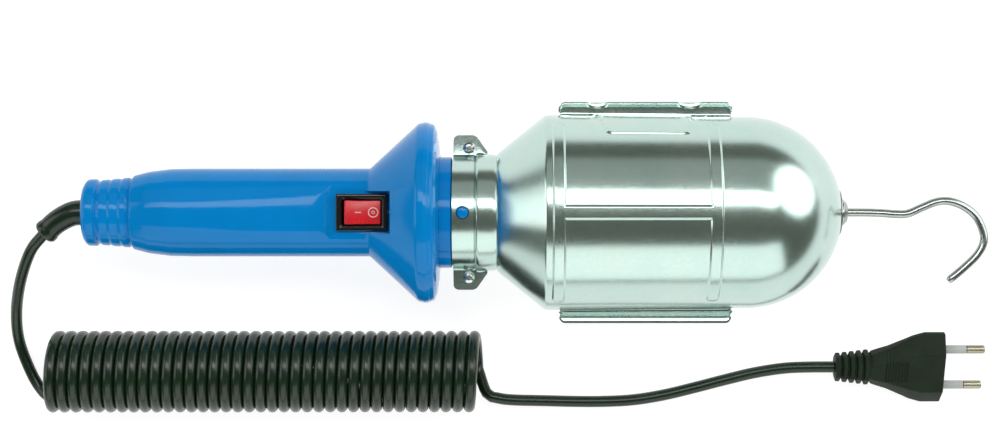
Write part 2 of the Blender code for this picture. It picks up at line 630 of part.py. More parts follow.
def make_fasteners(shades, frame):
    hinge = (0, HINGE_Y, HINGE_Z)
    pin = rod(REFLECTOR_KNUCKLES[0][0] - 1, REFLECTOR_KNUCKLES[1][1] + 1, 0.85, hinge[1:], 12)
    solid("guard_hinge_pin", pin, shades["bright"], frame)
    top = HALF_SPLIT + SHEET + GAP
    screw = [(-3.4, 0), (-3.4, 1.3), (top, 1.3), (top, 2.6), (top + 1.1, 2.4), (top + 1.6, 1.6), (top + 1.7, 0)]
    nut_top = -HALF_SPLIT - SHEET - GAP
    for side, letter in ((1, "a"), (-1, "b")):
        centre = (CLAMP_X, CLAMP_Y * side)
        solid(f"clamp_screw_{letter}", upright(screw, centre), shades["bright"], frame, (*centre, 0))
        ring = [(nut_top - 1.5, 1.85), (nut_top - 1.5, 3.2), (nut_top, 3.2), (nut_top, 1.85)]
        solid(f"clamp_nut_{letter}", upright(ring, centre, 12), shades["bright"], frame, hinge)


# Hook and its swivel
HOOK_BENDS = ((163.0, -0.7), (168.6, -0.5), (175.0, 2.2), (181.6, 4.8), (187.5, 5.1), (193.6, 3.0),
              (199.3, -1.4), (202.6, -7.8), (203.2, -13.2), (200.4, -18.9), (194.4, -24.9), (186.9, -31.2))


def make_hook(shades, frame):
    disc_front = HOOK_PLATE_X + SHEET
    washer = [(disc_front + GAP, 3.2), (disc_front + GAP, 10.2), (disc_front + GAP + 0.8, 9.8),
              (disc_front + GAP + 0.8, 3.2)]
    solid("end_washer", turned(washer, 20), shades["zinc"], frame)
    bush_x = disc_front + 2 * GAP + 0.8
    bush = [(HOOK_PLATE_X - 1.2, 2.2), (HOOK_PLATE_X - 1.2, 4.9), (HOOK_PLATE_X - GAP, 4.9),
            (HOOK_PLATE_X - GAP, 2.85), (bush_x, 2.85), (bush_x, 6.2), (bush_x + 0.7, 6.1),
            (bush_x + 2.7, 4.5), (bush_x + 3.0, 4.0), (bush_x + 3.0, 2.2)]
    solid("hook_bush", turned(bush, 16), shades["bright"], frame)
    head_x = HOOK_PLATE_X - 1.2 - GAP
    head_route = [Vector((head_x - 1.6, 0, 0)), Vector((head_x - 1.2, 0, 0)), Vector((head_x, 0, 0))]
    wire_route = [(head_x + 0.05, 0, 0), (148.0, 0, 0), (156.0, -0.2, 0), *((x, y, 0) for x, y in HOOK_BENDS)]
    wire = smooth_route(wire_route, 4.4)
    radii = [2.9, 3.4, 3.4] + [HOOK_WIRE_RADIUS] * (len(wire) - 1) + [HOOK_WIRE_RADIUS - 0.5]
    solid("hook", swept(head_route + wire, radii, 10), shades["bright"], frame, (head_x, 0, 0))


# Cord and plug, with heights above the surface that the lamp lies on
def make_cord(shades, ground):
    boot_end = BOOT_ROUTE[-1]
    handle_lead = [(boot_end[0] - 0.2, boot_end[1] - 0.2, AXIS_HEIGHT + boot_end[2] - 0.1),
                   (-231.2, -17.6, 35.2), (-238.2, -31.5, 24.6), (-243.0, -46.5, 11.8), (-243.4, -60.5, 4.4),
                   (-238.6, -74.5, 2.8), (-233.9, -82.6, 3.2), (-230.1, -87.6, 5.6)]
    tube("cord_lead_handle", smooth_route(handle_lead, 9), CORD_RADIUS, shades["rubber"], ground, roundness=3)
    coil_end_x = COIL_START_X + COIL_TURNS * COIL_PITCH + CORD_DIAMETER
    coil = rod(COIL_START_X, coil_end_x, COIL_RADIUS, (COIL_Y, COIL_RADIUS), 28)
    solid("cord_coil", coil, shades["rubber"], ground)
    plug_lead = [(coil_end_x + GAP, -87.6, 9.6), (coil_end_x + 3.0, -87.65, 9.5), (-10.0, -88.2, 6.4),
                 (4.1, -88.8, 3.4), (18.3, -89.2, 2.75),
                 (32.5, -89.2, 2.7), (46.7, -88.4, 2.7), (60.9, -86.1, 2.7), (75.1, -82.7, 2.75),
                 (89.2, -79.0, 3.3), (103.2, -75.5, 5.0), (116.9, -73.1, 8.2), (128.6, -72.4, 10.6),
                 (PLUG_X - GAP, PLUG_Y, 11.4)]
    tube("cord_lead_plug", smooth_route(plug_lead, 12), CORD_RADIUS, shades["rubber"], ground, roundness=3)


def plug_section(half_width, half_height):
    """Eight corners of a plug's cross-section, as (y, z), going round. The facets widen where it is flat."""
    facet = 0.59 * half_height
    flatness = max(0.0, half_width - half_height)
    across = min(facet + 0.36 * flatness, 8.0)
    down = min(facet + 0.2 * flatness, 5.6)
    points = [(half_width, half_height - down), (half_width - across, half_height)]
    points += [(-y, z) for y, z in reversed(points)]
    return points + [(-y, -z) for y, z in points]


def make_plug(shades, frame):
    """Flat two-pin plug in its own frame, with X along it from the cord to the pins."""
    relief = []
    for rib in range(5):
        start = 3.3 * rib
        radius = 6.3 + 0.35 * rib
        relief += [(start, radius - 0.6, radius - 0.6), (start + 0.5, radius, radius),
                   (start + 2.1, radius, radius), (start + 2.6, radius - 0.9, radius - 0.9)]
    body = [(16.9, 7.9, 6.4), (22.2, 9.6, 6.7), (28.8, 13.0, 6.85), (35.4, 16.2, 6.85), (41.0, 17.85, 6.85),
            (PLUG_LENGTH, 17.85, 6.85)]
    mesh = bmesh.new()
    rings = []
    for x, half_width, half_height in relief + body:
        rings.append([mesh.verts.new((x, y, z)) for y, z in plug_section(half_width, half_height)])
    for ring, following in zip(rings, rings[1:]):
        for side in range(8):
            after = (side + 1) % 8
            mesh.faces.new((ring[side], ring[after], following[after], following[side]))
    mesh.faces.new(rings[0])
    mesh.faces.new(rings[-1])
    plug = solid("plug_body", mesh, shades["rubber"], frame)
    face = PLUG_LENGTH
    for side, letter in ((1, "a"), (-1, "b")):
        centre = (PIN_SPACING / 2 * side, 0)
        cut(plug, rod(face - 6.3, face + 1, 1.65, centre, 12))
        pin = [(face - 6.0, 0), (face - 6.0, 1.3), (face + 10.6, 1.3), (face + 10.6, 2.0), (face + 17.8, 2.0),
               (face + 18.7, 1.3), (face + 19.0, 0)]
        solid(f"plug_pin_{letter}", turned(pin, 16, centre), shades["bright"], frame)
        sleeve = [(face + GAP, 1.6), (face + GAP, 2.0), (face + 10.3, 2.0), (face + 10.3, 1.6)]
        solid(f"plug_sleeve_{letter}", turned(sleeve, 16, centre), shades["sleeve"], frame)


def empty(name, location, turn=0.0):
    marker = bpy.data.objects.new(name, None)
    marker.location = Vector(location) * MM
    marker.rotation_euler = (math.radians(turn), 0, 0)
    bpy.context.collection.objects.link(marker)
    return marker


def main():
    for old in list(bpy.data.objects):
        bpy.data.objects.remove(old, do_unlink=True)
    shades = make_materials()
    lamp = empty("lamp_axis", (0, 0, AXIS_HEIGHT))
    ground = empty("resting_surface", (0, 0, 0))
    plug = empty("plug_axis", (PLUG_X, PLUG_Y, 11.4), PLUG_TILT)
    make_handle(shades, lamp)
    make_flare_cover(shades, lamp)
    make_cord_entry(shades, lamp)
    make_wires(shades, lamp)
    make_switch(shades, lamp)
    make_lampholder(shades, lamp)
    make_bulb(shades, lamp)
    make_reflector(shades, lamp)
    make_guard(shades, lamp)
    make_fasteners(shades, lamp)
    make_hook(shades, lamp)
    make_cord(shades, ground)
    make_plug(shades, plug)


main()
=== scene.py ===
"""Looks of the corded inspection lamp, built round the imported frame.

Pieces are drawn in millimetres in the lamp's own frame: X runs along its axis towards the hook, Y across
it in the plane where reflector and guard meet, and Z up, with the origin on the axis. Cord and plug use
heights above the floor. scaled_data() turns millimetres into metres in the row frame.
"""
import json
import math

import bmesh
import bpy
import numpy as np
from mathutils import Matrix, Vector


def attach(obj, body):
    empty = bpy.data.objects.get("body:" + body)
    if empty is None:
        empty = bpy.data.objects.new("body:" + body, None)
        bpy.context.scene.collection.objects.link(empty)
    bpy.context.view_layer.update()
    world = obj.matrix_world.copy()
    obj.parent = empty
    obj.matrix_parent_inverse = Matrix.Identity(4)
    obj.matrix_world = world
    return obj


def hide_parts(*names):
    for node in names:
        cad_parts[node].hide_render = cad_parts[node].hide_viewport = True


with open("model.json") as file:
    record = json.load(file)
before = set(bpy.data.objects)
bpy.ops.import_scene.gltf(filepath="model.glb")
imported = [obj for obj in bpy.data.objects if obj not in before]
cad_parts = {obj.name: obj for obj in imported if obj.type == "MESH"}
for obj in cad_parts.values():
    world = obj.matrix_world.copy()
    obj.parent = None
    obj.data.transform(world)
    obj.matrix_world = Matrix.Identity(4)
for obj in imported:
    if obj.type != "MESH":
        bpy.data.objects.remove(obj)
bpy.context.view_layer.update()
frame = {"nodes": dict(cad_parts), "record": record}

MM = 0.001
AXIS_HEIGHT = 41.1
AXIS = Vector((0, 0, AXIS_HEIGHT))
MERGE = 0.0005


# Camera, straight above the lamp
CAMERA_AT = (-0.0164, -0.0016, 1.0)
CAMERA_LENS = 75.9


def make_camera():
    camera = bpy.data.objects.new("camera", bpy.data.cameras.new("camera"))
    camera.data.sensor_width = 36.0
    camera.data.lens = CAMERA_LENS
    camera.location = CAMERA_AT
    bpy.context.collection.objects.link(camera)
    bpy.context.scene.camera = camera


make_camera()


# Node-based materials
class Shader:
    """A Principled material with short helpers for its procedural inputs."""

    def __init__(self, name, colour, roughness, metallic=0.0, **settings):
        self.material = bpy.data.materials.new(name)
        self.material.use_nodes = True
        self.tree = self.material.node_tree
        self.surface = self.tree.nodes["Principled BSDF"]
        self.set("Base Color", (*colour, 1.0))
        self.set("Roughness", roughness)
        self.set("Metallic", metallic)
        for socket, value in settings.items():
            self.set(socket.replace("_", " "), value)
        self.place = self.node("ShaderNodeTexCoord").outputs["Object"]

    def set(self, socket, value):
        self.surface.inputs[socket].default_value = value

    def node(self, kind, **inputs):
        made = self.tree.nodes.new(kind)
        for socket, value in inputs.items():
            target = made.inputs[socket.replace("_", " ")]
            if isinstance(value, bpy.types.NodeSocket):
                self.tree.links.new(value, target)
            else:
                target.default_value = value
        return made

    def noise(self, scale, detail=3.0, roughness=0.55):
        return self.node("ShaderNodeTexNoise", Vector=self.place, Scale=scale, Detail=detail,
                         Roughness=roughness).outputs["Fac"]

    def grains(self, scale):
        """A random value for each cell of a Voronoi pattern."""
        cells = self.node("ShaderNodeTexVoronoi", Vector=self.place, Scale=scale)
        split = self.node("ShaderNodeSeparateColor", Color=cells.outputs["Color"])
        return split.outputs["Red"]

    def ramp(self, factor, low, high, from_low=0.0, from_high=1.0):
        """A number from low to high as factor goes from from_low to from_high."""
        return self.node("ShaderNodeMapRange", Value=factor, From_Min=from_low, From_Max=from_high,
                         To_Min=low, To_Max=high).outputs["Result"]

    def colours(self, factor, *stops):
        """A colour that runs through stops of (position, colour)."""
        made = self.tree.nodes.new("ShaderNodeValToRGB")
        elements = made.color_ramp.elements
        while len(elements) < len(stops):
            elements.new(0.5)
        for element, (position, colour) in zip(elements, stops):
            element.position = position
            element.color = (*colour, 1.0)
        self.tree.links.new(factor, made.inputs["Fac"])
        return made.outputs["Color"]

    def maths(self, operation, first, second):
        made = self.tree.nodes.new("ShaderNodeMath")
        made.operation = operation
        for socket, value in zip(made.inputs, (first, second)):
            if isinstance(value, bpy.types.NodeSocket):
                self.tree.links.new(value, socket)
            else:
                socket.default_value = value
        return made.outputs["Value"]

    def mixed(self, factor, first, second, blend="MIX"):
        made = self.tree.nodes.new("ShaderNodeMix")
        made.data_type = "RGBA"
        made.blend_type = blend
        for index, value in ((0, factor), (6, first), (7, second)):
            if isinstance(value, bpy.types.NodeSocket):
                self.tree.links.new(value, made.inputs[index])
            else:
                made.inputs[index].default_value = value if index == 0 else (*value, 1.0)
        return made.outputs[2]

    def bump(self, height, distance, strength=1.0):
        """Adds a bump, in metres, on top of any earlier one."""
        made = self.node("ShaderNodeBump", Height=height, Distance=distance, Strength=strength)
        normal = self.surface.inputs["Normal"]
        if normal.is_linked:
            self.tree.links.new(normal.links[0].from_socket, made.inputs["Normal"])
        self.tree.links.new(made.outputs["Normal"], normal)

    def link(self, socket, output):
        self.tree.links.new(output, self.surface.inputs[socket])


def blue_plastic():
    shader = Shader("handle_blue_plastic", (0.0, 0.2, 0.55), 0.12, Specular_IOR_Level=0.2)
    tone = shader.noise(45, 4.0)
    shader.link("Base Color", shader.colours(tone, (0.3, (0.0, 0.195, 0.53)),
                                             (0.7, (0.0, 0.216, 0.585))))
    shader.link("Roughness", shader.ramp(shader.noise(160, 5.0), 0.07, 0.16))
    shader.bump(shader.noise(110, 2.0), 0.0002, 0.3)
    shader.bump(shader.noise(1500, 2.0), 0.00002, 0.3)
    return shader


def zinc_sheet():
    """Zinc plated steel with a thin blue-green passivation and fine crystal grain."""
    shader = Shader("zinc_sheet", (0.53, 0.68, 0.63), 0.27, 1.0)
    cloud = shader.noise(28, 5.0, 0.6)
    grain = shader.grains(3600)
    base = shader.colours(cloud, (0.3, (0.49, 0.65, 0.605)), (0.52, (0.53, 0.68, 0.63)),
                          (0.72, (0.56, 0.68, 0.62)))
    speck = shader.colours(grain, (0.0, (0.88, 0.88, 0.88)), (1.0, (1.0, 1.0, 1.0)))
    shader.link("Base Color", shader.mixed(1.0, base, speck, "MULTIPLY"))
    patches = shader.maths("ADD", shader.ramp(cloud, -0.015, 0.015, 0.3, 0.7),
                           shader.ramp(grain, 0.16, 0.25))
    shader.link("Roughness", patches)
    shader.bump(shader.noise(4000, 3.0, 0.7), 0.00003, 0.3)
    shader.bump(shader.noise(60, 2.0), 0.0002, 0.08)
    return shader


def bright_steel():
    shader = Shader("bright_zinc_steel", (0.68, 0.71, 0.7), 0.2, 1.0)
    shader.link("Roughness", shader.ramp(shader.noise(900, 4.0), 0.12, 0.3))
    shader.link("Base Color", shader.colours(shader.noise(300, 4.0), (0.35, (0.56, 0.6, 0.59)),
                                             (0.65, (0.78, 0.8, 0.78))))
    shader.bump(shader.noise(1800, 3.0), 0.00003, 0.4)
    return shader


def black_rubber(name="cord_rubber", colour=(0.0055, 0.0165, 0.007), rough=(0.18, 0.3), gloss=0.45):
    shader = Shader(name, colour, 0.36, Specular_IOR_Level=gloss)
    lighter = tuple(1.5 * value + 0.001 for value in colour)
    shader.link("Base Color", shader.colours(shader.noise(90, 4.0), (0.35, colour), (0.75, lighter)))
    shader.link("Roughness", shader.ramp(shader.noise(380, 4.0), *rough))
    shader.bump(shader.noise(1900, 3.0), 0.00003, 0.4)
    return shader


def moulded(name, colour, rough=(0.3, 0.42), grain=2600, metallic=0.0):
    """Plain moulded plastic, glazed ceramic or drawn metal with a fine surface grain."""
    shader = Shader(name, colour, rough[0], metallic)
    darker = tuple(0.82 * value for value in colour)
    shader.link("Base Color", shader.colours(shader.noise(140, 4.0), (0.3, darker), (0.65, colour)))
    shader.link("Roughness", shader.ramp(shader.noise(700, 4.0), *rough))
    shader.bump(shader.noise(grain, 3.0), 0.00002, 0.4)
    return shader


def clear_glass():
    shader = Shader("bulb_clear_glass", (1.0, 1.0, 1.0), 0.02, Transmission_Weight=1.0, IOR=1.45)
    shader.bump(shader.noise(40, 2.0), 0.0001, 0.1)
    return shader


SHADES = {
    "handle": blue_plastic(),
    "zinc_sheet": zinc_sheet(),
    "bright_steel": bright_steel(),
    "hook_steel": moulded("hook_steel_wire", (0.42, 0.46, 0.44), (0.16, 0.28), 1800, 1.0),
    "contact": moulded("plug_contact_metal", (0.42, 0.4, 0.3), (0.26, 0.4), 1800, 1.0),
    "rubber": black_rubber(),
    "plug": black_rubber("plug_rubber", (0.006, 0.0145, 0.0055), (0.5, 0.66), 0.2),
    "black_plastic": moulded("switch_black_plastic", (0.006, 0.007, 0.008), (0.12, 0.2)),
    "rocker": moulded("rocker_red_plastic", (0.74, 0.014, 0.022), (0.2, 0.32)),
    "mark": moulded("rocker_pale_print", (0.85, 0.58, 0.56), (0.4, 0.5)),
    "brass": moulded("brass", (0.72, 0.5, 0.2), (0.2, 0.36), metallic=1.0),
    "ceramic": moulded("glazed_ceramic", (0.86, 0.84, 0.78), (0.16, 0.3), 900),
    "glass": clear_glass(),
    "aluminium": moulded("cap_aluminium", (0.8, 0.8, 0.8), (0.26, 0.4), metallic=1.0),
    "tungsten": moulded("tungsten_wire", (0.3, 0.29, 0.28), (0.4, 0.5), metallic=1.0),
    "pin_sleeve": moulded("pin_sleeve_grey", (0.45, 0.47, 0.45), (0.4, 0.5)),
    "brown_wire": moulded("brown_insulation", (0.16, 0.06, 0.025), (0.35, 0.5)),
    "blue_wire": moulded("blue_insulation", (0.03, 0.12, 0.42), (0.35, 0.5)),
}


# Outlines and routes
def filleted(points, radius, steps=5, closed=False):
    """An outline with its corners rounded, as a list of points; a point may carry its own radius."""
    corners = [(Vector(point[:2]), point[2] if len(point) > 2 else radius) for point in points]
    count = len(corners)
    outline = []
    for index, (corner, round_by) in enumerate(corners):
        if not closed and index in (0, count - 1):
            outline.append(tuple(corner))
            continue
        before = corners[index - 1][0] - corner
        after = corners[(index + 1) % count][0] - corner
        opening = before.angle(after)
        reach = min(round_by / math.tan(opening / 2), 0.45 * before.length, 0.45 * after.length)
        start = corner + before.normalized() * reach
        end = corner + after.normalized() * reach
        for step in range(steps + 1):
            t = step / steps
            outline.append(tuple((1 - t) ** 2 * start + 2 * t * (1 - t) * corner + t * t * end))
    return outline


def smooth_route(points, spacing):
    """Points about one spacing apart along a smooth curve through the route's own points."""
    knots = [Vector(point) for point in points]
    knots = [2 * knots[0] - knots[1]] + knots + [2 * knots[-1] - knots[-2]]
    route = [knots[1]]
    for before, start, end, after in zip(knots, knots[1:], knots[2:], knots[3:]):
        steps = max(1, round((end - start).length / spacing))
        for step in range(1, steps + 1):
            t = step / steps
            route.append(0.5 * (2 * start + (end - before) * t
                                + (2 * before - 5 * start + 4 * end - after) * t ** 2
                                + (3 * start - before - 3 * end + after) * t ** 3))
    return route


def circle(count):
    """Evenly spaced angles round a full turn."""
    return [2 * math.pi * index / count for index in range(count)]


def round_ring(x, radius, count, centre=(0.0, 0.0)):
    """Points of a circle round an axis along X through (y, z)."""
    return [(x, centre[0] + radius * math.cos(turn), centre[1] + radius * math.sin(turn))
            for turn in circle(count)]


# Mesh pieces
def scaled_data(name, mesh, origin=AXIS):
    """Mesh data in metres in the row frame, from a bmesh in millimetres."""
    bmesh.ops.translate(mesh, vec=origin, verts=mesh.verts)
    bmesh.ops.scale(mesh, vec=(MM, MM, MM), verts=mesh.verts)
    data = bpy.data.meshes.new(name)
    mesh.to_mesh(data)
    mesh.free()
    return data


def linked(name, data):
    made = bpy.data.objects.new(name, data)
    bpy.context.collection.objects.link(made)
    return made


def smoothed(data, sharp=32):
    """Smooth shading, broken at edges sharper than an angle in degrees."""
    data.shade_smooth()
    data.set_sharp_from_angle(angle=math.radians(sharp))


def mesh_piece(name, mesh, shade, body, stands_for=(), origin=AXIS, sharp=32):
    """A finished piece from a bmesh in millimetres, placed in the row frame and riding on a body."""
    bmesh.ops.remove_doubles(mesh, verts=mesh.verts, dist=MERGE)
    bmesh.ops.recalc_face_normals(mesh, faces=mesh.faces)
    data = scaled_data(name, mesh, origin)
    smoothed(data, sharp)
    data.materials.append(SHADES[shade].material)
    piece = linked(name, data)
    settle(piece, body, stands_for)
    return piece


def settle(piece, body, stands_for=()):
    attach(piece, body)
    if stands_for:
        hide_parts(*stands_for)


def lathe(profile, segments=96, centre=(0.0, 0.0)):
    """Turns a closed outline of (x, radius) points round an axis along X through (y, z)."""
    mesh = bmesh.new()
    rings = []
    for x, radius in profile:
        if radius < 1e-6:
            rings.append([mesh.verts.new((x, *centre))])
        else:
            rings.append([mesh.verts.new(point) for point in round_ring(x, radius, segments, centre)])
    for ring, following in zip(rings, rings[1:] + rings[:1]):
        if len(ring) == 1 and len(following) == 1:
            continue
        for index in range(segments):
            after = (index + 1) % segments
            if len(ring) == 1:
                mesh.faces.new((ring[0], following[after], following[index]))
            elif len(following) == 1:
                mesh.faces.new((ring[index], ring[after], following[0]))
            else:
                mesh.faces.new((ring[index], ring[after], following[after], following[index]))
    return mesh


def stood(mesh, centre):
    """Turns a mesh that was turned round X so that it stands on Z at a point (x, y)."""
    upright = Matrix.Rotation(math.radians(-90), 3, "Y")
    bmesh.ops.rotate(mesh, cent=(0, 0, 0), verts=mesh.verts, matrix=upright)
    bmesh.ops.translate(mesh, vec=(*centre, 0), verts=mesh.verts)
    return mesh


def loft(rings, cap_ends=True, closed=False):
    """Skins rings of equal numbers of points."""
    mesh = bmesh.new()
    made = [[mesh.verts.new(point) for point in ring] for ring in rings]
    pairs = list(zip(made, made[1:])) + ([(made[-1], made[0])] if closed else [])
    for ring, following in pairs:
        for index in range(len(ring)):
            after = (index + 1) % len(ring)
            mesh.faces.new((ring[index], ring[after], following[after], following[index]))
    if cap_ends and not closed:
        mesh.faces.new(made[0])
        mesh.faces.new(made[-1])
    return mesh


def swept(route, radii, sides=20, bore=None):
    """Round rings of the given radii along a route, solid with end caps, or hollow with a bore."""
    def ring(index, radius):
        ahead = route[min(index + 1, len(route) - 1)] - route[max(index - 1, 0)]
        across = ahead.cross(Vector((0, 0, 1))).normalized()
        up = across.cross(ahead).normalized()
        return [route[index] + radius * (math.cos(turn) * across + math.sin(turn) * up)
                for turn in circle(sides)]
    rings = [ring(index, radius) for index, radius in enumerate(radii)]
    if bore:
        rings += [ring(index, bore) for index in reversed(range(len(route)))]
    return loft(rings, closed=bool(bore))


def rounded_box(half_x, half_y, corner, z, centre=(0.0, 0.0), steps=5):
    """A ring of points round a rectangle with rounded corners, at a height."""
    corners = ((half_x, half_y), (-half_x, half_y), (-half_x, -half_y), (half_x, -half_y))
    outline = filleted(corners, corner, steps, closed=True)
    return [(centre[0] + x, centre[1] + y, z) for x, y in outline]


def cut_by(piece, mesh, bevel=0.0):
    """Cuts a mesh out of a piece for good, then rounds the new edges."""
    bmesh.ops.recalc_face_normals(mesh, faces=mesh.faces)
    cutter = linked("cutter", scaled_data("cutter", mesh))
    modifier = piece.modifiers.new("cut", "BOOLEAN")
    modifier.operation = "DIFFERENCE"
    modifier.solver = "EXACT"
    modifier.object = cutter
    if bevel:
        rounding = piece.modifiers.new("edges", "BEVEL")
        rounding.width = bevel * MM
        rounding.segments = 3
        rounding.limit_method = "ANGLE"
        rounding.angle_limit = math.radians(28)
    apply_all(piece)
    bpy.data.objects.remove(cutter)
    smoothed(piece.data)


def apply_all(piece):
    """Applies all of a piece's modifiers to its mesh."""
    evaluated = piece.evaluated_get(bpy.context.evaluated_depsgraph_get())
    finished = bpy.data.meshes.new_from_object(evaluated)
    piece.modifiers.clear()
    piece.data = finished


# Cord
CORD_DIAMETER = 5.35
BOOT_ROUTE = ((-205.0, 0, 0), (-211.0, -0.6, -0.1), (-218.0, -4.2, -0.9), (-224.2, -9.6, -2.2))
COIL_CENTRE = (-73.9, 19.1)
COIL_RADIUS = 16.4
COIL_PITCH = 5.36
COIL_START = -224.6
COIL_TURNS = 36.85
TURN_POINTS = 24
ROUTE_STEP = 3.0
HANDLE_LEAD = ((-224.4, -9.8, 38.8), (-231.2, -17.6, 35.2), (-238.2, -31.5, 24.6), (-243.0, -46.5, 11.8),
               (-243.4, -60.5, 4.4), (-238.6, -74.5, 2.8), (-233.9, -82.6, 3.2), (-229.4, -86.6, 5.6))
PLUG_LEAD = ((-22.9, -84.9, 6.6), (-17.5, -87.2, 7.6), (-10, -88.2, 6.4), (4.1, -88.8, 3.4),
             (18.3, -89.2, 2.75), (32.5, -89.2, 2.7), (46.7, -88.4, 2.7), (60.9, -86.1, 2.7),
             (75.1, -82.7, 2.75), (89.2, -79, 3.3), (103.2, -75.5, 5), (116.9, -73.1, 8.2),
             (128.6, -72.4, 10.6), (139.7, -72.3, 11.4))


def coil_point(turn):
    """A point of the coil after a number of turns, seen to wind up the near side and over the top."""
    angle = math.radians(217) - 2 * math.pi * turn
    y = COIL_CENTRE[0] + COIL_RADIUS * math.cos(angle)
    z = COIL_CENTRE[1] + COIL_RADIUS * math.sin(angle)
    return (COIL_START + COIL_PITCH * turn, y, z)


def make_cord():
    steps = round(COIL_TURNS * TURN_POINTS)
    coil = [coil_point(COIL_TURNS * step / steps) for step in range(steps + 1)]
    route = smooth_route([*HANDLE_LEAD, *coil[:2]], ROUTE_STEP)[:-1]
    route += [Vector(point) for point in coil[2:-1]]
    route += smooth_route([coil[-1], *PLUG_LEAD], ROUTE_STEP)
    curve = bpy.data.curves.new("curly_cord", "CURVE")
    curve.dimensions = "3D"
    curve.bevel_depth = CORD_DIAMETER / 2 * MM
    curve.bevel_resolution = 5
    curve.use_fill_caps = True
    spline = curve.splines.new("POLY")
    spline.points.add(len(route) - 1)
    for point, at in zip(spline.points, route):
        point.co = (*(at * MM), 1)
    spline.use_smooth = True
    curve.materials.append(SHADES["rubber"].material)
    cord = linked("curly_cord", curve)
    settle(cord, "lamp", ("cord_lead_handle", "cord_coil", "cord_lead_plug"))
    return cord, [at * MM for at in route]


def make_boot():
    route = smooth_route(BOOT_ROUTE, 0.9)
    count = len(route) - 1
    radii = [5.85 - 0.65 * index / count for index in range(count + 1)]
    for index in range(count + 1):
        from_end = count - index
        radii[index] += 0.45 * smooth_step(2.5 - abs(from_end - 1.5), 0.0, 1.5)
        radii[index] -= 0.5 * (from_end == 0)
    mesh_piece("cord_boot", swept(route, radii, 32, 3.0), "rubber", "lamp", ("cable_boot",))


def smooth_step(value, low, high):
    """Rises smoothly from 0 at low to 1 at high."""
    t = min(1.0, max(0.0, (value - low) / (high - low)))
    return t * t * (3 - 2 * t)


cord, cord_route = make_cord()
make_boot()


# Plug, in its own frame with X along it from the cord to the pins
PLUG_AT = Vector((140.0, -72.3, 11.4))
PLUG_TILT = 24.0
PLUG_FACE = 50.4
PIN_SPACING = 18.6


def plug_placed(mesh):
    bmesh.ops.rotate(mesh, cent=(0, 0, 0), verts=mesh.verts,
                     matrix=Matrix.Rotation(math.radians(PLUG_TILT), 3, "X"))
    return mesh


def grip_depth(x, y):
    """Depth of the fine grip grooves moulded across part of the plug's broad faces."""
    across = smooth_step(y, -4.4, -3.9) * smooth_step(-y, -6.2, -5.7)
    along = smooth_step(x, 22.7, 23.1) * smooth_step(-x, -33.4, -33.0)
    return 0.42 * across * along * smooth_step(math.cos(2 * math.pi * (x - 23.1) / 1.45), -0.5, 0.7)


def plug_ring(x, half_width, half_height):
    """Cross-section of the plug: a flat octagon with rounded corners and grooves in both broad faces."""
    facet = 0.59 * half_height
    flatness = max(0.0, half_width - half_height)
    across = min(facet + 0.36 * flatness, 8.0)
    down = min(facet + 0.2 * flatness, 5.6)
    quarter = [(half_width, half_height - down), (half_width - across, half_height)]
    points = quarter + [(-y, z) for y, z in reversed(quarter)]
    points += [(-y, -z) for y, z in points]
    corners = filleted(points, 0.9, 4, closed=True)

    def filled(start, end):
        return [tuple(Vector(start).lerp(Vector(end), step / 25)) for step in range(1, 25)]

    outline = (corners[:10] + filled(corners[9], corners[10]) + corners[10:30]
               + filled(corners[29], corners[30]) + corners[30:])
    return [(x, y, z - math.copysign(grip_depth(x, math.copysign(y, y * z)), z)) for y, z in outline]


def make_plug():
    stations = []
    for rib in range(5):
        start = 3.3 * rib
        radius = 6.3 + 0.35 * rib
        stations += [(start, radius - 0.9), (start + 0.25, radius - 0.25), (start + 0.55, radius),
                     (start + 2.0, radius), (start + 2.3, radius - 0.3), (start + 2.6, radius - 1.3),
                     (start + 3.0, radius - 1.3)]
    stations = [(x, radius, radius) for x, radius in stations]
    widths = filleted([(16.8, 7.5), (18.6, 8.3, 4), (24.4, 10.4, 12), (35.4, 16.1, 12), (41.0, 17.85, 1.5),
                       (50.0, 17.85)], 8, 8)
    heights = ([16.8, 21.0, 29.0, 50.0], [6.3, 6.6, 6.85, 6.85])
    along = [x for x, _ in widths]
    for x in (*np.arange(16.8, 22.5, 0.35), *np.arange(22.6, 34.7, 0.16), *np.arange(34.9, 49.9, 0.4)):
        stations.append((x, np.interp(x, along, [width for _, width in widths]), np.interp(x, *heights)))
    stations += [(50.15, 17.78, 6.8), (PLUG_FACE, 17.5, 6.5)]
    rings = [plug_ring(*station) for station in stations]
    plug = mesh_piece("plug_moulding", plug_placed(loft(rings)), "plug", "lamp",
                      ("plug_body",), PLUG_AT, 40)
    pins = []
    for side, letter in ((1, "a"), (-1, "b")):
        centre = (PIN_SPACING / 2 * side, 0)
        pin = filleted([(PLUG_FACE - 2, 0), (PLUG_FACE - 2, 1.3), (PLUG_FACE + 10.6, 1.3),
                        (PLUG_FACE + 10.6, 2.0, 0.2), (PLUG_FACE + 19.0, 2.0, 1.6),
                        (PLUG_FACE + 19.0, 0)], 0.1)
        pins.append(mesh_piece(f"plug_contact_{letter}", plug_placed(lathe(pin, 40, centre)), "contact",
                               "lamp", (f"plug_pin_{letter}",), PLUG_AT))
        sleeve = filleted([(PLUG_FACE - 0.2, 1.4), (PLUG_FACE - 0.2, 2.0), (PLUG_FACE + 10.3, 2.0, 0.15),
                           (PLUG_FACE + 10.3, 1.4, 0.1)], 0.05, closed=True)
        pins.append(mesh_piece(f"plug_insulation_{letter}", plug_placed(lathe(sleeve, 40, centre)),
                               "pin_sleeve", "lamp", (f"plug_sleeve_{letter}",), PLUG_AT))
    return [plug, *pins]


plug_pieces = make_plug()


# Handle
SWITCH_X = -78.3
PEG_X = -33.3


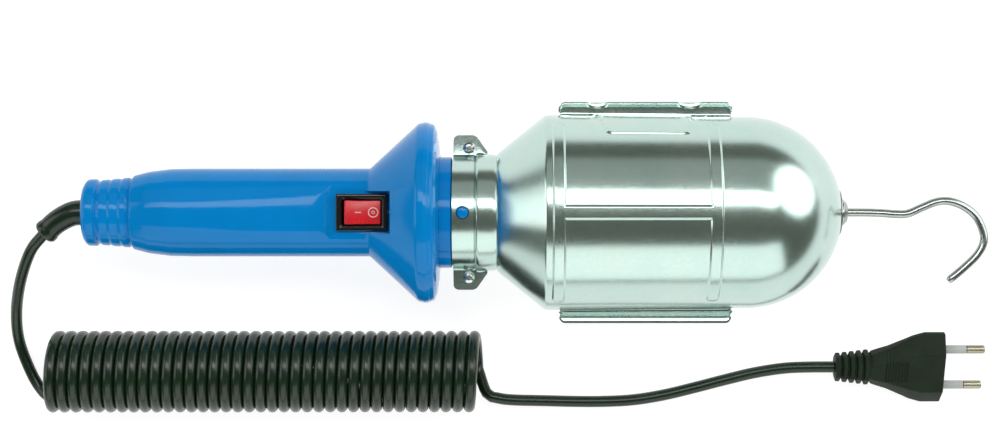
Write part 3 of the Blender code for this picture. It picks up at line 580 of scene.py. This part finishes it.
def switch_well():
    """Cutter for the rectangular well that the switch sits in."""
    return loft([rounded_box(9.95, 6.7, 0.5, z, (SWITCH_X, 0)) for z in (4.0, 22.0)])


def make_handle():
    outside = [(-205.2, 8.5, 0.4), (-205.2, 12.6, 3.0), (-203.4, 15.2, 3.0), (-199.4, 15.2, 0.8),
               (-198.6, 14.1, 0.5)]
    for index in range(3):
        start = -198.0 + 4.8 * index
        radius = 14.8 + 0.45 * index
        outside += [(start + 0.2, radius - 0.5, 0.5), (start + 1.5, radius + 0.1, 1.0),
                    (start + 3.6, radius + 0.2, 0.6)]
    outside += [(-183.6, 15.2, 0.5), (-182.4, 16.9, 1.4), (-175.7, 18.6, 14), (-166.0, 19.8, 18),
                (-156.0, 20.0, 20), (-75.6, 20.0, 2.0), (-53.6, 40.4, 3.2), (-50.4, 41.1, 1.6),
                (-48.0, 40.6, 0.8), (-48.6, 38.4, 0.3)]
    inside = [(-53.5, 36.2, 1), (-62.0, 28.4, 1), (-60.0, 27.0, 1), (-49.0, 25.2, 0.5), (-38.6, 25.2, 0.4),
              (-38.3, 23.9, 0.2), (-16.6, 23.9, 0.4), (-16.0, 23.3, 0.3), (-16.0, 21.4, 0.2),
              (-60.6, 21.4, 0.3), (-60.6, 15.8, 0.3), (-67.5, 15.8, 0.3), (-68.5, 15.4, 0.3),
              (-174.0, 14.6, 2), (-184.0, 11.4, 1), (-200.7, 11.4, 0.3), (-200.7, 7.0, 0.3),
              (-205.0, 7.0, 0.2)]
    profile = filleted(outside + inside, 0.5, 6, closed=True)
    handle = mesh_piece("handle_moulding", lathe(profile, 144), "handle", "lamp", ("handle",))

    def scoop_section(y, end):
        """The scoop's side view across the handle, with its wall at end and open above."""
        side_view = [(-108.5, 20.6), (-101.0, 19.1, 12), (-94.7, 17.6, 1.5), (-92.6, 16.0, 0.8),
                     (end, 16.0, 0.9), (end + 1.2, 31.0, 0.5), (end + 1.2, 50.0, 0.1), (-108.5, 50.0, 0.1)]
        return [(x, y, z) for x, z in filleted(side_view, 0.1, 4, closed=True)]

    sections = ((-12.2, -76.4), (-9.5, -76.4), (-9.4, -66.2), (9.4, -66.2), (9.5, -76.4), (12.2, -76.4))
    cut_by(handle, loft([scoop_section(y, end) for y, end in sections]), 0.45)
    cut_by(handle, switch_well())
    peg = filleted([(22.5, 0), (22.5, 2.6), (26.4, 2.6, 0.9), (26.8, 0)], 0.1)
    mesh_piece("handle_peg", stood(lathe(peg, 40), (PEG_X, 0)), "handle", "lamp")
    backing = filleted([(-107.5, 13.4), (-107.5, 15.4), (-68.6, 15.4), (-68.6, 13.4)], 0.3, 3, closed=True)
    rings = [[(x, y, z) for x, z in backing] for y in (-10.0, 10.0)]
    floor = mesh_piece("handle_switch_floor", loft(rings), "handle", "lamp")
    cut_by(floor, switch_well())


def make_flare_front():
    front = [(-48.3, 40.5, 0.1), (-46.3, 39.8, 1.2), (-45.0, 36.6, 1), (-44.2, 31.0, 3), (-43.7, 25.5, 0.2)]
    back = [(-44.4, 25.5, 0.2), (-44.9, 31.0, 3), (-45.7, 36.3, 1), (-46.5, 38.6, 1), (-48.3, 39.2, 0.2)]
    profile = filleted(front + back, 0.3, 4, closed=True)
    mesh_piece("flare_front", lathe(profile, 128), "handle", "lamp", ("flare_cover",))


# Rocker switch
ROCKER_PIVOT = Vector((SWITCH_X, 0, 16.2))
ROCKER_TILT = 11.0
MARK_ROOT = -0.1
MARK_RISE = 0.04


def tilted(mesh):
    bmesh.ops.rotate(mesh, cent=ROCKER_PIVOT, verts=mesh.verts,
                     matrix=Matrix.Rotation(math.radians(ROCKER_TILT), 3, "Y"))
    return mesh


def rocker_top(x):
    """Height of the rocker's hollowed top above its pivot, x along it from the pivot."""
    return 2.2 + 1.1 * (x / 8.0) ** 2


def make_switch():
    at = (SWITCH_X, 0)
    outside = [(9.0, 5.8, 0.4, 3.0), (9.6, 6.4, 0.5, 3.4), (9.6, 6.4, 0.5, 16.3), (11.35, 8.1, 0.6, 16.3),
               (11.6, 8.3, 0.8, 16.5), (11.6, 8.3, 0.8, 17.8), (11.5, 8.2, 0.8, 18.2), (11.2, 7.9, 0.8, 18.4)]
    inside = [(9.75, 6.75, 0.6, 18.4), (9.6, 6.6, 0.6, 18.3), (9.5, 6.5, 0.5, 17.7), (9.1, 6.1, 0.5, 17.6),
              (9.0, 5.95, 0.5, 17.5), (8.9, 5.6, 0.4, 17.0), (8.9, 5.6, 0.4, 4.6)]
    rings = [rounded_box(half_x, half_y, corner, z, at) for half_x, half_y, corner, z in outside + inside]
    mesh_piece("switch_bezel", loft(rings), "black_plastic", "lamp", ("switch_housing",))
    line = [(10.4, 7.15, 0.6, 18.38), (10.4, 7.15, 0.6, 18.5), (10.1, 6.85, 0.6, 18.5),
            (10.1, 6.85, 0.6, 18.38)]
    rings = [rounded_box(half_x, half_y, corner, z, at) for half_x, half_y, corner, z in line]
    mesh_piece("switch_bezel_line", loft(rings, closed=True), "black_plastic", "lamp")

    top = [(x, rocker_top(x)) for x in np.linspace(-7.7, 7.7, 23)]
    half_length = 8.2
    outline = [(-half_length, 2.4), *top, (half_length, 2.4), (7.4, -2.0), (2.2, -3.4), (-2.2, -3.4),
               (-7.4, -2.0)]
    rings = []
    for y, inset in ((-5.25, 0.4), (-5.05, 0.08), (-4.8, 0.0), (4.8, 0.0), (5.05, 0.08), (5.25, 0.4)):
        shrink = 1 - inset / half_length
        rings.append([(SWITCH_X + x * shrink, y, ROCKER_PIVOT.z + z - inset * (z > 0)) for x, z in outline])
    mesh_piece("rocker_key", tilted(loft(rings)), "rocker", "rocker", ("switch_rocker",))


def make_marks():
    """The pale on and off marks, printed a hair above the rocker's top."""
    def raised(x, y, lift):
        return (SWITCH_X + x, y, ROCKER_PIVOT.z + rocker_top(x) + lift)

    bar = filleted(((-3.4, 0.22), (-0.6, 0.22), (-0.6, -0.22), (-3.4, -0.22)), 0.1, 3, closed=True)
    rings = [[raised(x, y, lift) for x, y in bar] for lift in (MARK_ROOT, MARK_RISE)]
    mesh_piece("rocker_mark_on", tilted(loft(rings)), "mark", "rocker")
    for name, outer, inner in (("off", 2.3, 1.85), ("centre", 0.75, 0.45)):
        edges = ((outer, MARK_ROOT), (outer, MARK_RISE), (inner, MARK_RISE), (inner, MARK_ROOT))
        rings = [[raised(4.7 + radius * math.cos(turn), radius * math.sin(turn), lift) for turn in circle(48)]
                 for radius, lift in edges]
        mesh_piece(f"rocker_mark_{name}", tilted(loft(rings, closed=True)), "mark", "rocker")


# Lampholder and bulb
BULB_TIP_X = -38.0
THREAD_PITCH = 3.6
THREAD_SIDES = 64


def thread_ring(x, radius, depth, phase):
    """A ring whose radius rises and falls once round, turned by the thread's phase."""
    ring = []
    for turn in circle(THREAD_SIDES):
        out = radius + depth * math.cos(phase - turn)
        ring.append((x, out * math.cos(turn), out * math.sin(turn)))
    return ring


def make_bulb():
    neck = [(24.5, 11.8), (27.8, 12.2), (36.0, 16.8), (44.0, 21.2), (52.0, 25.4), (60.0, 28.5)]
    dome = [(75.0 + 30.0 * math.sin(math.radians(angle)), 30.0 * math.cos(math.radians(angle)))
            for angle in range(-15, 85, 4)] + [(105.0, 0.0)]
    outside = [tuple(point)[:2] for point in smooth_route([(*point, 0) for point in neck], 1.2)] + dome
    wall = 0.6
    inside = [(x - wall * max(0.0, (x - 60.0) / 45.0), max(radius - wall, 0.0)) for x, radius in outside]
    profile = [(BULB_TIP_X + x, radius) for x, radius in outside + inside[::-1]]
    mesh_piece("bulb_envelope", lathe(profile, 72), "glass", "bulb", ("bulb_glass",))
    tip = ((3.2, 9.0), (4.4, 12.2), (6.0, 12.6))
    rim = ((24.4, 12.9), (26.2, 12.9), (27.0, 13.2), (27.2, 13.0), (27.0, 12.5), (5.8, 12.2), (4.0, 11.6),
           (3.4, 8.6))
    threads = []
    for x in np.arange(6.4, 24.0, 0.45):
        fade = smooth_step(x, 6.4, 8.5) * smooth_step(24.0 - x, 0.0, 2.0)
        threads.append(thread_ring(BULB_TIP_X + x, 12.62, 0.34 * fade, 2 * math.pi * x / THREAD_PITCH))
    lower, upper = ([round_ring(BULB_TIP_X + x, radius, THREAD_SIDES) for x, radius in part]
                    for part in (tip, rim))
    mesh_piece("bulb_screw_cap", loft(lower + threads + upper, closed=True), "aluminium", "bulb",
               ("bulb_cap",), sharp=50)


def make_holder():
    body = filleted([(-13.2, 15.6), (-13.2, 20.8, 1.2), (-60.0, 20.8, 0.6), (-60.0, 0), (-43.0, 0),
                     (-43.0, 15.0)], 0.4, 4)
    mesh_piece("holder_ceramic", lathe(body, 72), "ceramic", "lamp", ("lampholder_body",))
    along = np.arange(-42.4, -15.6, 0.6)
    stations = [(x, 0.0) for x in along] + [(x, 0.35) for x in along[::-1]]
    rings = [thread_ring(x, 14.2 + wall, 0.28, 2 * math.pi * (x - BULB_TIP_X) / THREAD_PITCH)
             for x, wall in stations]
    mesh_piece("holder_thread", loft(rings, closed=True), "brass", "lamp", ("lampholder_shell",),
               sharp=50)


# Reflector and guard, pressed from sheet
SHEET = 0.9
HALF_SPLIT = 0.3
DOME_X = 94.8
DOME_RADIUS = 43.4
RIB_HEIGHT = 0.8
RIB_RADIUS = 44.0
FLANGE_SPAN = (10.7, 88.0)
FLANGE_REACH = 50.2
FLANGE_ROOT = 2.6
EAR_SPAN = (-37.8, -22.3)
EAR_HOLE = (-30.7, 29.4)
FLANGE_POINTS = 17
KNUCKLES = ((24.0, 31.0), (65.0, 74.0))
GUARD_KNUCKLE = (32.2, 63.8)
HINGE = (48.3, -2.2)
SHELL_OUTLINE = filleted([(-38.0, 25.5), (-28.3, 25.5, 0.2), (-27.75, 24.9, 0.15), (-27.2, 26.1, 0.2),
                          (-26.4, 26.4, 0.5), (-19.3, 26.4, 0.5), (-18.3, 25.8, 0.5), (-17.1, 27.3, 0.9),
                          (3.6, 44.0, 2.0), (5.6, 44.25, 6), (50.0, 43.8, 30), (DOME_X, DOME_RADIUS)], 0.5, 6)
SHELL_X = [x for x, _ in SHELL_OUTLINE]
SHELL_R = [radius for _, radius in SHELL_OUTLINE]


def shell_radius(x):
    """Outer radius of the reflector's plain shell."""
    if x > DOME_X:
        return math.sqrt(max(0.0, DOME_RADIUS ** 2 - (x - DOME_X) ** 2))
    return float(np.interp(x, SHELL_X, SHELL_R))


def capsule(u, v, half_u, half_v, corner):
    """Signed distance to a rectangle with rounded corners, negative inside."""
    along = abs(u) - half_u + corner
    across = abs(v) - half_v + corner
    return math.hypot(max(along, 0), max(across, 0)) + min(max(along, across), 0) - corner


def rib_rise(x, angle, ribs, reach):
    """Height of the pressed ribs: rings with rounded ends across the shell, joined by one along its crest."""
    if x < 4 or x > 90:
        return 0.0
    across = math.radians(angle - 90) * RIB_RADIUS
    half_ring = math.radians(90 - reach) * RIB_RADIUS
    distance = min(capsule(x - (start + end) / 2, across, (end - start) / 2, half_ring,
                           (end - start) / 2 - 0.05) for start, end in ribs)
    middle = (ribs[0][0] + ribs[-1][1]) / 2
    crest = capsule(x - middle, across, (ribs[-1][1] - ribs[0][0]) / 2 - 1, 3.4, 0.6)
    distance = min(distance, crest)
    return RIB_HEIGHT * smooth_step(-distance, 0.0, 1.15)


def hinge_relief(x, angle):
    """Shallow step of the reflector beside its hinge flange."""
    if angle > 60 or x < 15 or x > 82:
        return 0.0
    width = 5.0 + 33.0 * smooth_step(x, 25.0, 32.0) * smooth_step(-x, -71.0, -66.0)
    return 0.6 * smooth_step(width - angle, 0.0, 1.0)


def guard_depth(x):
    """How much shallower the guard is than the reflector, so that its crest lies level with the flare."""
    def depth(at_x):
        return (AXIS_HEIGHT - HALF_SPLIT) / (shell_radius(at_x) + RIB_HEIGHT)
    return 1.0 + (depth(min(max(x, 4.4), DOME_X)) - 1.0) * smooth_step(x, -17.4, 5.0)


def flange_edge(x, reach):
    """Distance from the axis to the outer edge of an ear or a side flange, or None between them."""
    if EAR_SPAN[0] - 1e-6 <= x <= EAR_SPAN[1] + 1e-6:
        outline = filleted([(-37.8, 27.0), (-37.79, 35.1, 3.0), (-27.6, 35.1, 3.5), (-22.3, 27.6)], 1, 8)
    elif FLANGE_SPAN[0] - 1e-6 <= x <= FLANGE_SPAN[1] + 1e-6:
        start, end = FLANGE_SPAN
        outline = [(start + 2.2 - 2.2 * math.cos(turn), reach - 2.2 + 2.2 * math.sin(turn))
                   for turn in np.linspace(0, math.pi / 2, 8)]
        outline += [(start + end - at, edge) for at, edge in reversed(outline)]
    else:
        return None
    return float(np.interp(x, [at for at, _ in outline], [edge for _, edge in outline]))


def flange_points(x, side, sign, reach):
    """Cross-section of a flange from the shell outwards: a root curve, a shallow channel and a raised lip."""
    edge = flange_edge(x, reach)
    if edge is None:
        return None
    root = shell_radius(x)
    top = HALF_SPLIT + SHEET
    lip = 0.0
    if x > 0 and side > 0:
        lip = 1.1
        dents = [smooth_step(math.cos(math.pi * (x - (start + end) / 2) / (end - start + 3)), 0.0, 1.0)
                 for start, end in KNUCKLES if abs(x - (start + end) / 2) < (end - start) / 2 + 1.5]
        if sign > 0 and dents:
            edge -= 1.0 * max(dents)
            lip -= 0.7 * max(dents)
    rise = 0.42 if x > 0 and side > 0 and sign > 0 else 0.0
    if x > 0 and side < 0 and sign < 0:
        lip = -0.3
    outline = [(root, top + FLANGE_ROOT), (root, top, 1.1), (max(edge - 2.3, root + 0.4), top + rise, 0.8),
               (max(edge - 0.9, root + 0.7), top + lip, 0.6), (edge, top + lip * 0.75)]
    section = filleted(outline, 0.5, 4)
    return [(x, sign * y, side * z) for y, z in section]


def spaced(start, stop, step):
    """Rounded positions a step apart, as a set."""
    return set(np.round(np.arange(start, stop, step), 3))


def sheet_stations(ribs, last_radius):
    """Positions along the axis of a half shell's rows, closer together at its edges and ribs."""
    first = SHELL_X[0]
    stations = spaced(first, DOME_X, 0.9) | {*EAR_SPAN, *FLANGE_SPAN}
    stations |= spaced(-28.6, -26.0, 0.25) | spaced(1.6, 7.0, 0.35)
    for edge in np.ravel(ribs):
        stations |= spaced(edge - 1.4, edge + 1.5, 0.3)
    for edge, inward in ((FLANGE_SPAN[0], 1), (FLANGE_SPAN[1], -1), (EAR_SPAN[0], 1)):
        stations |= {round(edge + inward * step, 3) for step in (0.1, 0.3, 0.6, 1.0, 1.5, 2.0, 2.6)}
    stations = sorted(x for x in stations if first <= x <= DOME_X)
    kept = [stations[0]]
    for x in stations[1:]:
        if x - kept[-1] > 0.09:
            kept.append(x)
    last_angle = math.degrees(math.acos(last_radius / DOME_RADIUS))
    return kept + [DOME_X + DOME_RADIUS * math.sin(math.radians(angle))
                   for angle in np.linspace(1.2, last_angle, 58)]


def sheet_angles():
    """Angles round a half shell, closer together along its crest and at the hinge relief's edge."""
    coarse = {angle for angle in spaced(0, 180.1, 1.5) if not 82.5 < angle < 97.5}
    return sorted(coarse | spaced(82.5, 97.6, 0.42) | spaced(35.4, 39.4, 0.4))


def sheet_half(name, side, ribs, rib_reach, reaches, last_radius, node, body):
    """A half shell with its ears and flanges in one sheet. side is 1 above the split plane, -1 below."""
    angles = sheet_angles()

    def surface(x, angle):
        radius = shell_radius(x) + rib_rise(x, angle, ribs, rib_reach)
        if side > 0:
            radius += hinge_relief(x, angle)
        depth = guard_depth(x) if side < 0 else 1.0
        turn = math.radians(angle)
        across = math.cos(turn)
        height = HALF_SPLIT + radius * math.sin(turn) * depth
        root = HALF_SPLIT + SHEET + FLANGE_ROOT
        if height < root and flange_edge(x, FLANGE_REACH) is not None:
            across, height = math.copysign(1.0, across), root
        return (x, radius * across, side * height)

    mesh = bmesh.new()
    rows = []
    for x in sheet_stations(ribs, last_radius):
        left = flange_points(x, side, 1, reaches[1])
        right = flange_points(x, side, -1, reaches[-1])
        absent = [None] * FLANGE_POINTS
        arch = [surface(x, angle) for angle in angles]
        points = (left[::-1] if left else absent) + arch + (right or absent)
        rows.append([point and mesh.verts.new(point) for point in points])
    for row, following in zip(rows, rows[1:]):
        for column in range(len(row) - 1):
            corners = (row[column], row[column + 1], following[column + 1], following[column])
            if None not in corners:
                mesh.faces.new(corners)
    bmesh.ops.remove_doubles(mesh, verts=mesh.verts, dist=MERGE)
    bmesh.ops.recalc_face_normals(mesh, faces=mesh.faces)
    sample = max(mesh.faces, key=lambda face: abs(face.calc_center_median().z))
    if sample.normal.z * side < 0:
        bmesh.ops.reverse_faces(mesh, faces=mesh.faces)
    data = scaled_data(name, mesh)
    data.materials.append(SHADES["zinc_sheet"].material)
    piece = linked(name, data)
    thickness = piece.modifiers.new("sheet", "SOLIDIFY")
    thickness.thickness = SHEET * MM
    thickness.offset = -1
    apply_all(piece)
    smoothed(piece.data, 40)
    settle(piece, body, (node,))
    return piece


def knuckle(name, spans, web_z, body):
    """Sheet rolled round the hinge pin, with the web that joins it to its flange."""
    mesh = bmesh.new()
    for start, end in spans:
        edges = ((start, 1.9), (end, 1.9), (end, 1.2), (start, 1.2))
        rings = [round_ring(x, radius, 32, HINGE) for x, radius in edges]
        append(mesh, loft(rings, closed=True))
        low, high = sorted((HINGE[1] + 1.5, web_z))
        near, far = HINGE[0] - 1.5, HINGE[0] + 1.0
        outline = [(near, low), (far, low), (far, high), (near, high)]
        append(mesh, loft([[(x, y, z) for y, z in outline] for x in (start, end)]))
    mesh_piece(name, mesh, "zinc_sheet", body)


def append(mesh, extra):
    """Copies one bmesh into another."""
    data = bpy.data.meshes.new("extra")
    extra.to_mesh(data)
    extra.free()
    mesh.from_mesh(data)
    bpy.data.meshes.remove(data)


def ear_holes(radius):
    """Cutters for the clamp holes in both ears."""
    mesh = bmesh.new()
    profile = [(-4, 0), (-4, radius), (4, radius), (4, 0)]
    for side in (-1, 1):
        append(mesh, stood(lathe(profile, 32), (EAR_HOLE[0], side * EAR_HOLE[1])))
    return mesh


def make_reflector():
    ribs = ((6.2, 12.3), (74.7, 80.9))
    reaches = {1: FLANGE_REACH, -1: 47.5}
    shell = sheet_half("reflector_sheet", 1, ribs, 26, reaches, 11.4, "reflector_shell", "lamp")
    disc = filleted([(135.7, 3.3), (135.7, 12.0), (136.6, 12.0, 0.3), (136.6, 3.3)], 0.2, 3, closed=True)
    mesh_piece("reflector_end_disc", lathe(disc, 96), "zinc_sheet", "lamp")
    holes = ear_holes(1.8)
    append(holes, stood(lathe([(20, 0), (20, 2.95), (30, 2.95), (30, 0)], 40), (PEG_X, 0)))
    cut_by(shell, holes)
    knuckle("reflector_knuckles", KNUCKLES, 0.7, "lamp")


def window_cutters():
    """Radial cutters for the guard's punched windows, with rounded corners."""
    mesh = bmesh.new()
    for start, end in ((15.4, 41.4), (51.1, 76.7), (103.0, 130.0)):
        on_dome = start > DOME_X
        half_x = (end - start) / 2
        for low, high in ((12, 41), (49, 82), (98, 131), (139, 168)):
            size = math.radians(high - low) * RIB_RADIUS / 2
            corners = ((-1, -1), (1, -1), (1, 1), (-1, 1))
            outline = filleted([(half_x * u, size * v) for u, v in corners], 3.2, 6, closed=True)
            rings = []
            for factor in (0.72, 1.3):
                ring = []
                for u, v in outline:
                    x = (start + end) / 2 + u
                    turn = math.radians((low + high) / 2 + v / size * (high - low) / 2)
                    radius = shell_radius(x) + (factor - 1) * 14 if on_dome else shell_radius(x) * factor
                    height = -HALF_SPLIT - radius * math.sin(turn) * guard_depth(x)
                    ring.append((x, radius * math.cos(turn), height))
                rings.append(ring)
            append(mesh, loft(rings))
    return mesh


def make_guard():
    ribs = ((7.2, 13.9), (42.9, 49.6), (78.2, 85.8))
    reaches = {1: HINGE[0], -1: FLANGE_REACH}
    guard = sheet_half("guard_sheet", -1, ribs, 21, reaches, 14.8, "front_guard", "guard")
    cut_by(guard, window_cutters())
    holes = ear_holes(2.1)
    for start, end in KNUCKLES:
        outline = [(start - 0.7, 45.7), (end + 0.7, 45.7), (end + 0.7, 51.3), (start - 0.7, 51.3)]
        append(holes, loft([[(x, y, z) for x, y in outline] for z in (-6.0, 1.0)]))
    cut_by(guard, holes)
    knuckle("guard_knuckle", (GUARD_KNUCKLE,), -0.5, "guard")


# Screws, nuts, hook
def make_fasteners():
    top = HALF_SPLIT + SHEET + 0.3
    nut_top = -HALF_SPLIT - SHEET - 0.3
    for side, letter in ((1, "a"), (-1, "b")):
        at = (EAR_HOLE[0], side * EAR_HOLE[1])
        profile = filleted([(-3.4, 0), (-3.4, 1.3, 0.2), (top, 1.3), (top, 2.6, 0.2), (top + 0.8, 2.6, 0.3),
                            (top + 1.7, 1.4, 0.8), (top + 1.75, 0)], 0.1, 4)
        screw = mesh_piece(f"clamp_bolt_{letter}", stood(lathe(profile, 48), at), "bright_steel", "lamp",
                           (f"clamp_screw_{letter}",))
        turn = math.radians(35 * side)
        slot = [(x * math.cos(turn) - y * math.sin(turn), x * math.sin(turn) + y * math.cos(turn))
                for x, y in ((-3, -0.35), (3, -0.35), (3, 0.35), (-3, 0.35))]
        cut_by(screw, loft([[(at[0] + x, at[1] + y, z) for x, y in slot] for z in (top + 1.0, top + 3)]))
        rings = []
        for radius, z in ((2.9, nut_top - 1.5), (3.2, nut_top - 1.3), (3.2, nut_top)):
            corners = [math.radians(60 * index) for index in range(6)]
            rings.append([(at[0] + radius * math.cos(corner), at[1] + radius * math.sin(corner), z)
                          for corner in corners])
        nut = mesh_piece(f"clamp_hex_nut_{letter}", loft(rings), "bright_steel", "guard",
                         (f"clamp_nut_{letter}",))
        cut_by(nut, stood(lathe([(-8, 0), (-8, 1.85), (2, 1.85), (2, 0)], 32), at))
    pin = filleted([(23.0, 0), (23.0, 0.85), (75.0, 0.85), (75.0, 0)], 0.25, 3)
    mesh_piece("hinge_wire", lathe(pin, 24, HINGE), "bright_steel", "lamp",
               ("guard_hinge_pin",))


HOOK_ROUTE = ((134.25, 0, 0), (148.0, 0, 0), (156.0, -0.2, 0), (163.0, -0.7, 0), (168.6, -0.5, 0),
              (175.0, 2.2, 0), (181.6, 4.8, 0), (187.5, 5.1, 0), (193.6, 3.0, 0), (199.3, -1.4, 0),
              (202.6, -7.8, 0), (203.2, -13.2, 0), (200.4, -18.9, 0), (194.4, -24.9, 0), (186.9, -31.2, 0))


def make_hook():
    washer = filleted([(137.1, 3.2), (137.1, 10.4, 0.2), (137.7, 10.0, 0.4), (137.7, 3.2)], 0.1, 3,
                      closed=True)
    mesh_piece("hook_washer", lathe(washer, 80), "hook_steel", "lamp", ("end_washer",))
    # Painted shade: a thin ring of dark plastic between washer and end disc stands for the shadowed gap
    # behind the washer, not a real seal
    gap_shade = filleted([(136.65, 3.3), (136.65, 11.0, 0.15), (137.05, 11.0, 0.15), (137.05, 3.3)], 0.1, 3,
                    closed=True)
    mesh_piece("hook_washer_gap_shade", lathe(gap_shade, 80), "black_plastic", "lamp")
    bush = filleted([(134.5, 2.2), (134.5, 4.9, 0.3), (135.4, 4.9), (135.4, 2.85), (138.0, 2.85),
                     (138.0, 6.2, 0.2), (138.8, 6.1, 0.3), (140.7, 4.5, 0.5), (141.0, 3.6, 0.3),
                     (141.0, 2.2)], 0.1, 4, closed=True)
    mesh_piece("hook_swivel_bush", lathe(bush, 72), "hook_steel", "lamp", ("hook_bush",))
    wire = smooth_route(HOOK_ROUTE, 1.1)
    radii = [1.9] * (len(wire) - 2) + [1.75, 1.3]
    head = [Vector((x, 0, 0)) for x in (132.6, 132.9, 134.0, 134.2)]
    mesh_piece("hook_wire", swept(head + wire, [2.7, 3.3, 3.4, 3.2] + radii, 28), "hook_steel",
               "swivel_hook", ("hook",))


make_handle()
make_flare_front()
make_switch()
make_marks()
make_bulb()
make_holder()
make_reflector()
make_guard()
make_fasteners()
make_hook()


# CAD nodes that stay get their slot's finish
def finish_cad_nodes():
    slots = {part["node"]: part["material_slot"] for part in frame["record"]["subparts"]}
    for name, node in frame["nodes"].items():
        node.data.materials.clear()
        node.data.materials.append(SHADES[slots[name]].material)


finish_cad_nodes()


# Studio
def area_light(name, location, target, size, power, shape="RECTANGLE"):
    lamp = bpy.data.lights.new(name, "AREA")
    lamp.shape = shape
    lamp.size, lamp.size_y = size
    lamp.energy = power
    light = linked(name, lamp)
    light.location = location
    aim = (Vector(target) - Vector(location)).normalized()
    light.rotation_mode = "QUATERNION"
    light.rotation_quaternion = aim.to_track_quat("-Z", "Y")


def make_studio():
    world = bpy.data.worlds.new("studio")
    bpy.context.scene.world = world
    world.use_nodes = True
    background = world.node_tree.nodes["Background"]
    background.inputs["Color"].default_value = (0.125, 0.13, 0.112, 1)
    background.inputs["Strength"].default_value = 1.0
    bpy.context.scene.view_settings.view_transform = "Standard"

    mesh = bmesh.new()
    bmesh.ops.create_grid(mesh, x_segments=2, y_segments=2, size=6.0)
    data = bpy.data.meshes.new("studio_floor")
    mesh.to_mesh(data)
    mesh.free()
    floor = linked("studio_floor", data)
    floor.location = (0, 0, -0.0002)
    paper = Shader("studio_paper", (0.3, 0.3, 0.3), 0.9, Emission_Color=(1.0, 1.0, 1.0, 1.0),
                   Emission_Strength=0.86)
    paper.bump(paper.noise(300, 3.0), 0.0001, 0.1)
    data.materials.append(paper.material)

    middle = (0.0, 0.0, 0.04)
    area_light("key_strip", (0.05, 0.42, 1.35), middle, (1.7, 0.32), 9.5)
    area_light("near_panel", (0.0, -1.35, 0.75), middle, (2.4, 1.3), 13.5)
    area_light("far_panel", (0.0, 1.12, 1.04), middle, (2.2, 0.95), 1.9)
    area_light("hook_panel", (1.14, 0.5, 0.68), middle, (1.3, 1.3), 10, shape="ELLIPSE")
    area_light("tail_panel", (-1.5, 0.2, 0.8), middle, (1.2, 1.0), 7)


make_studio()
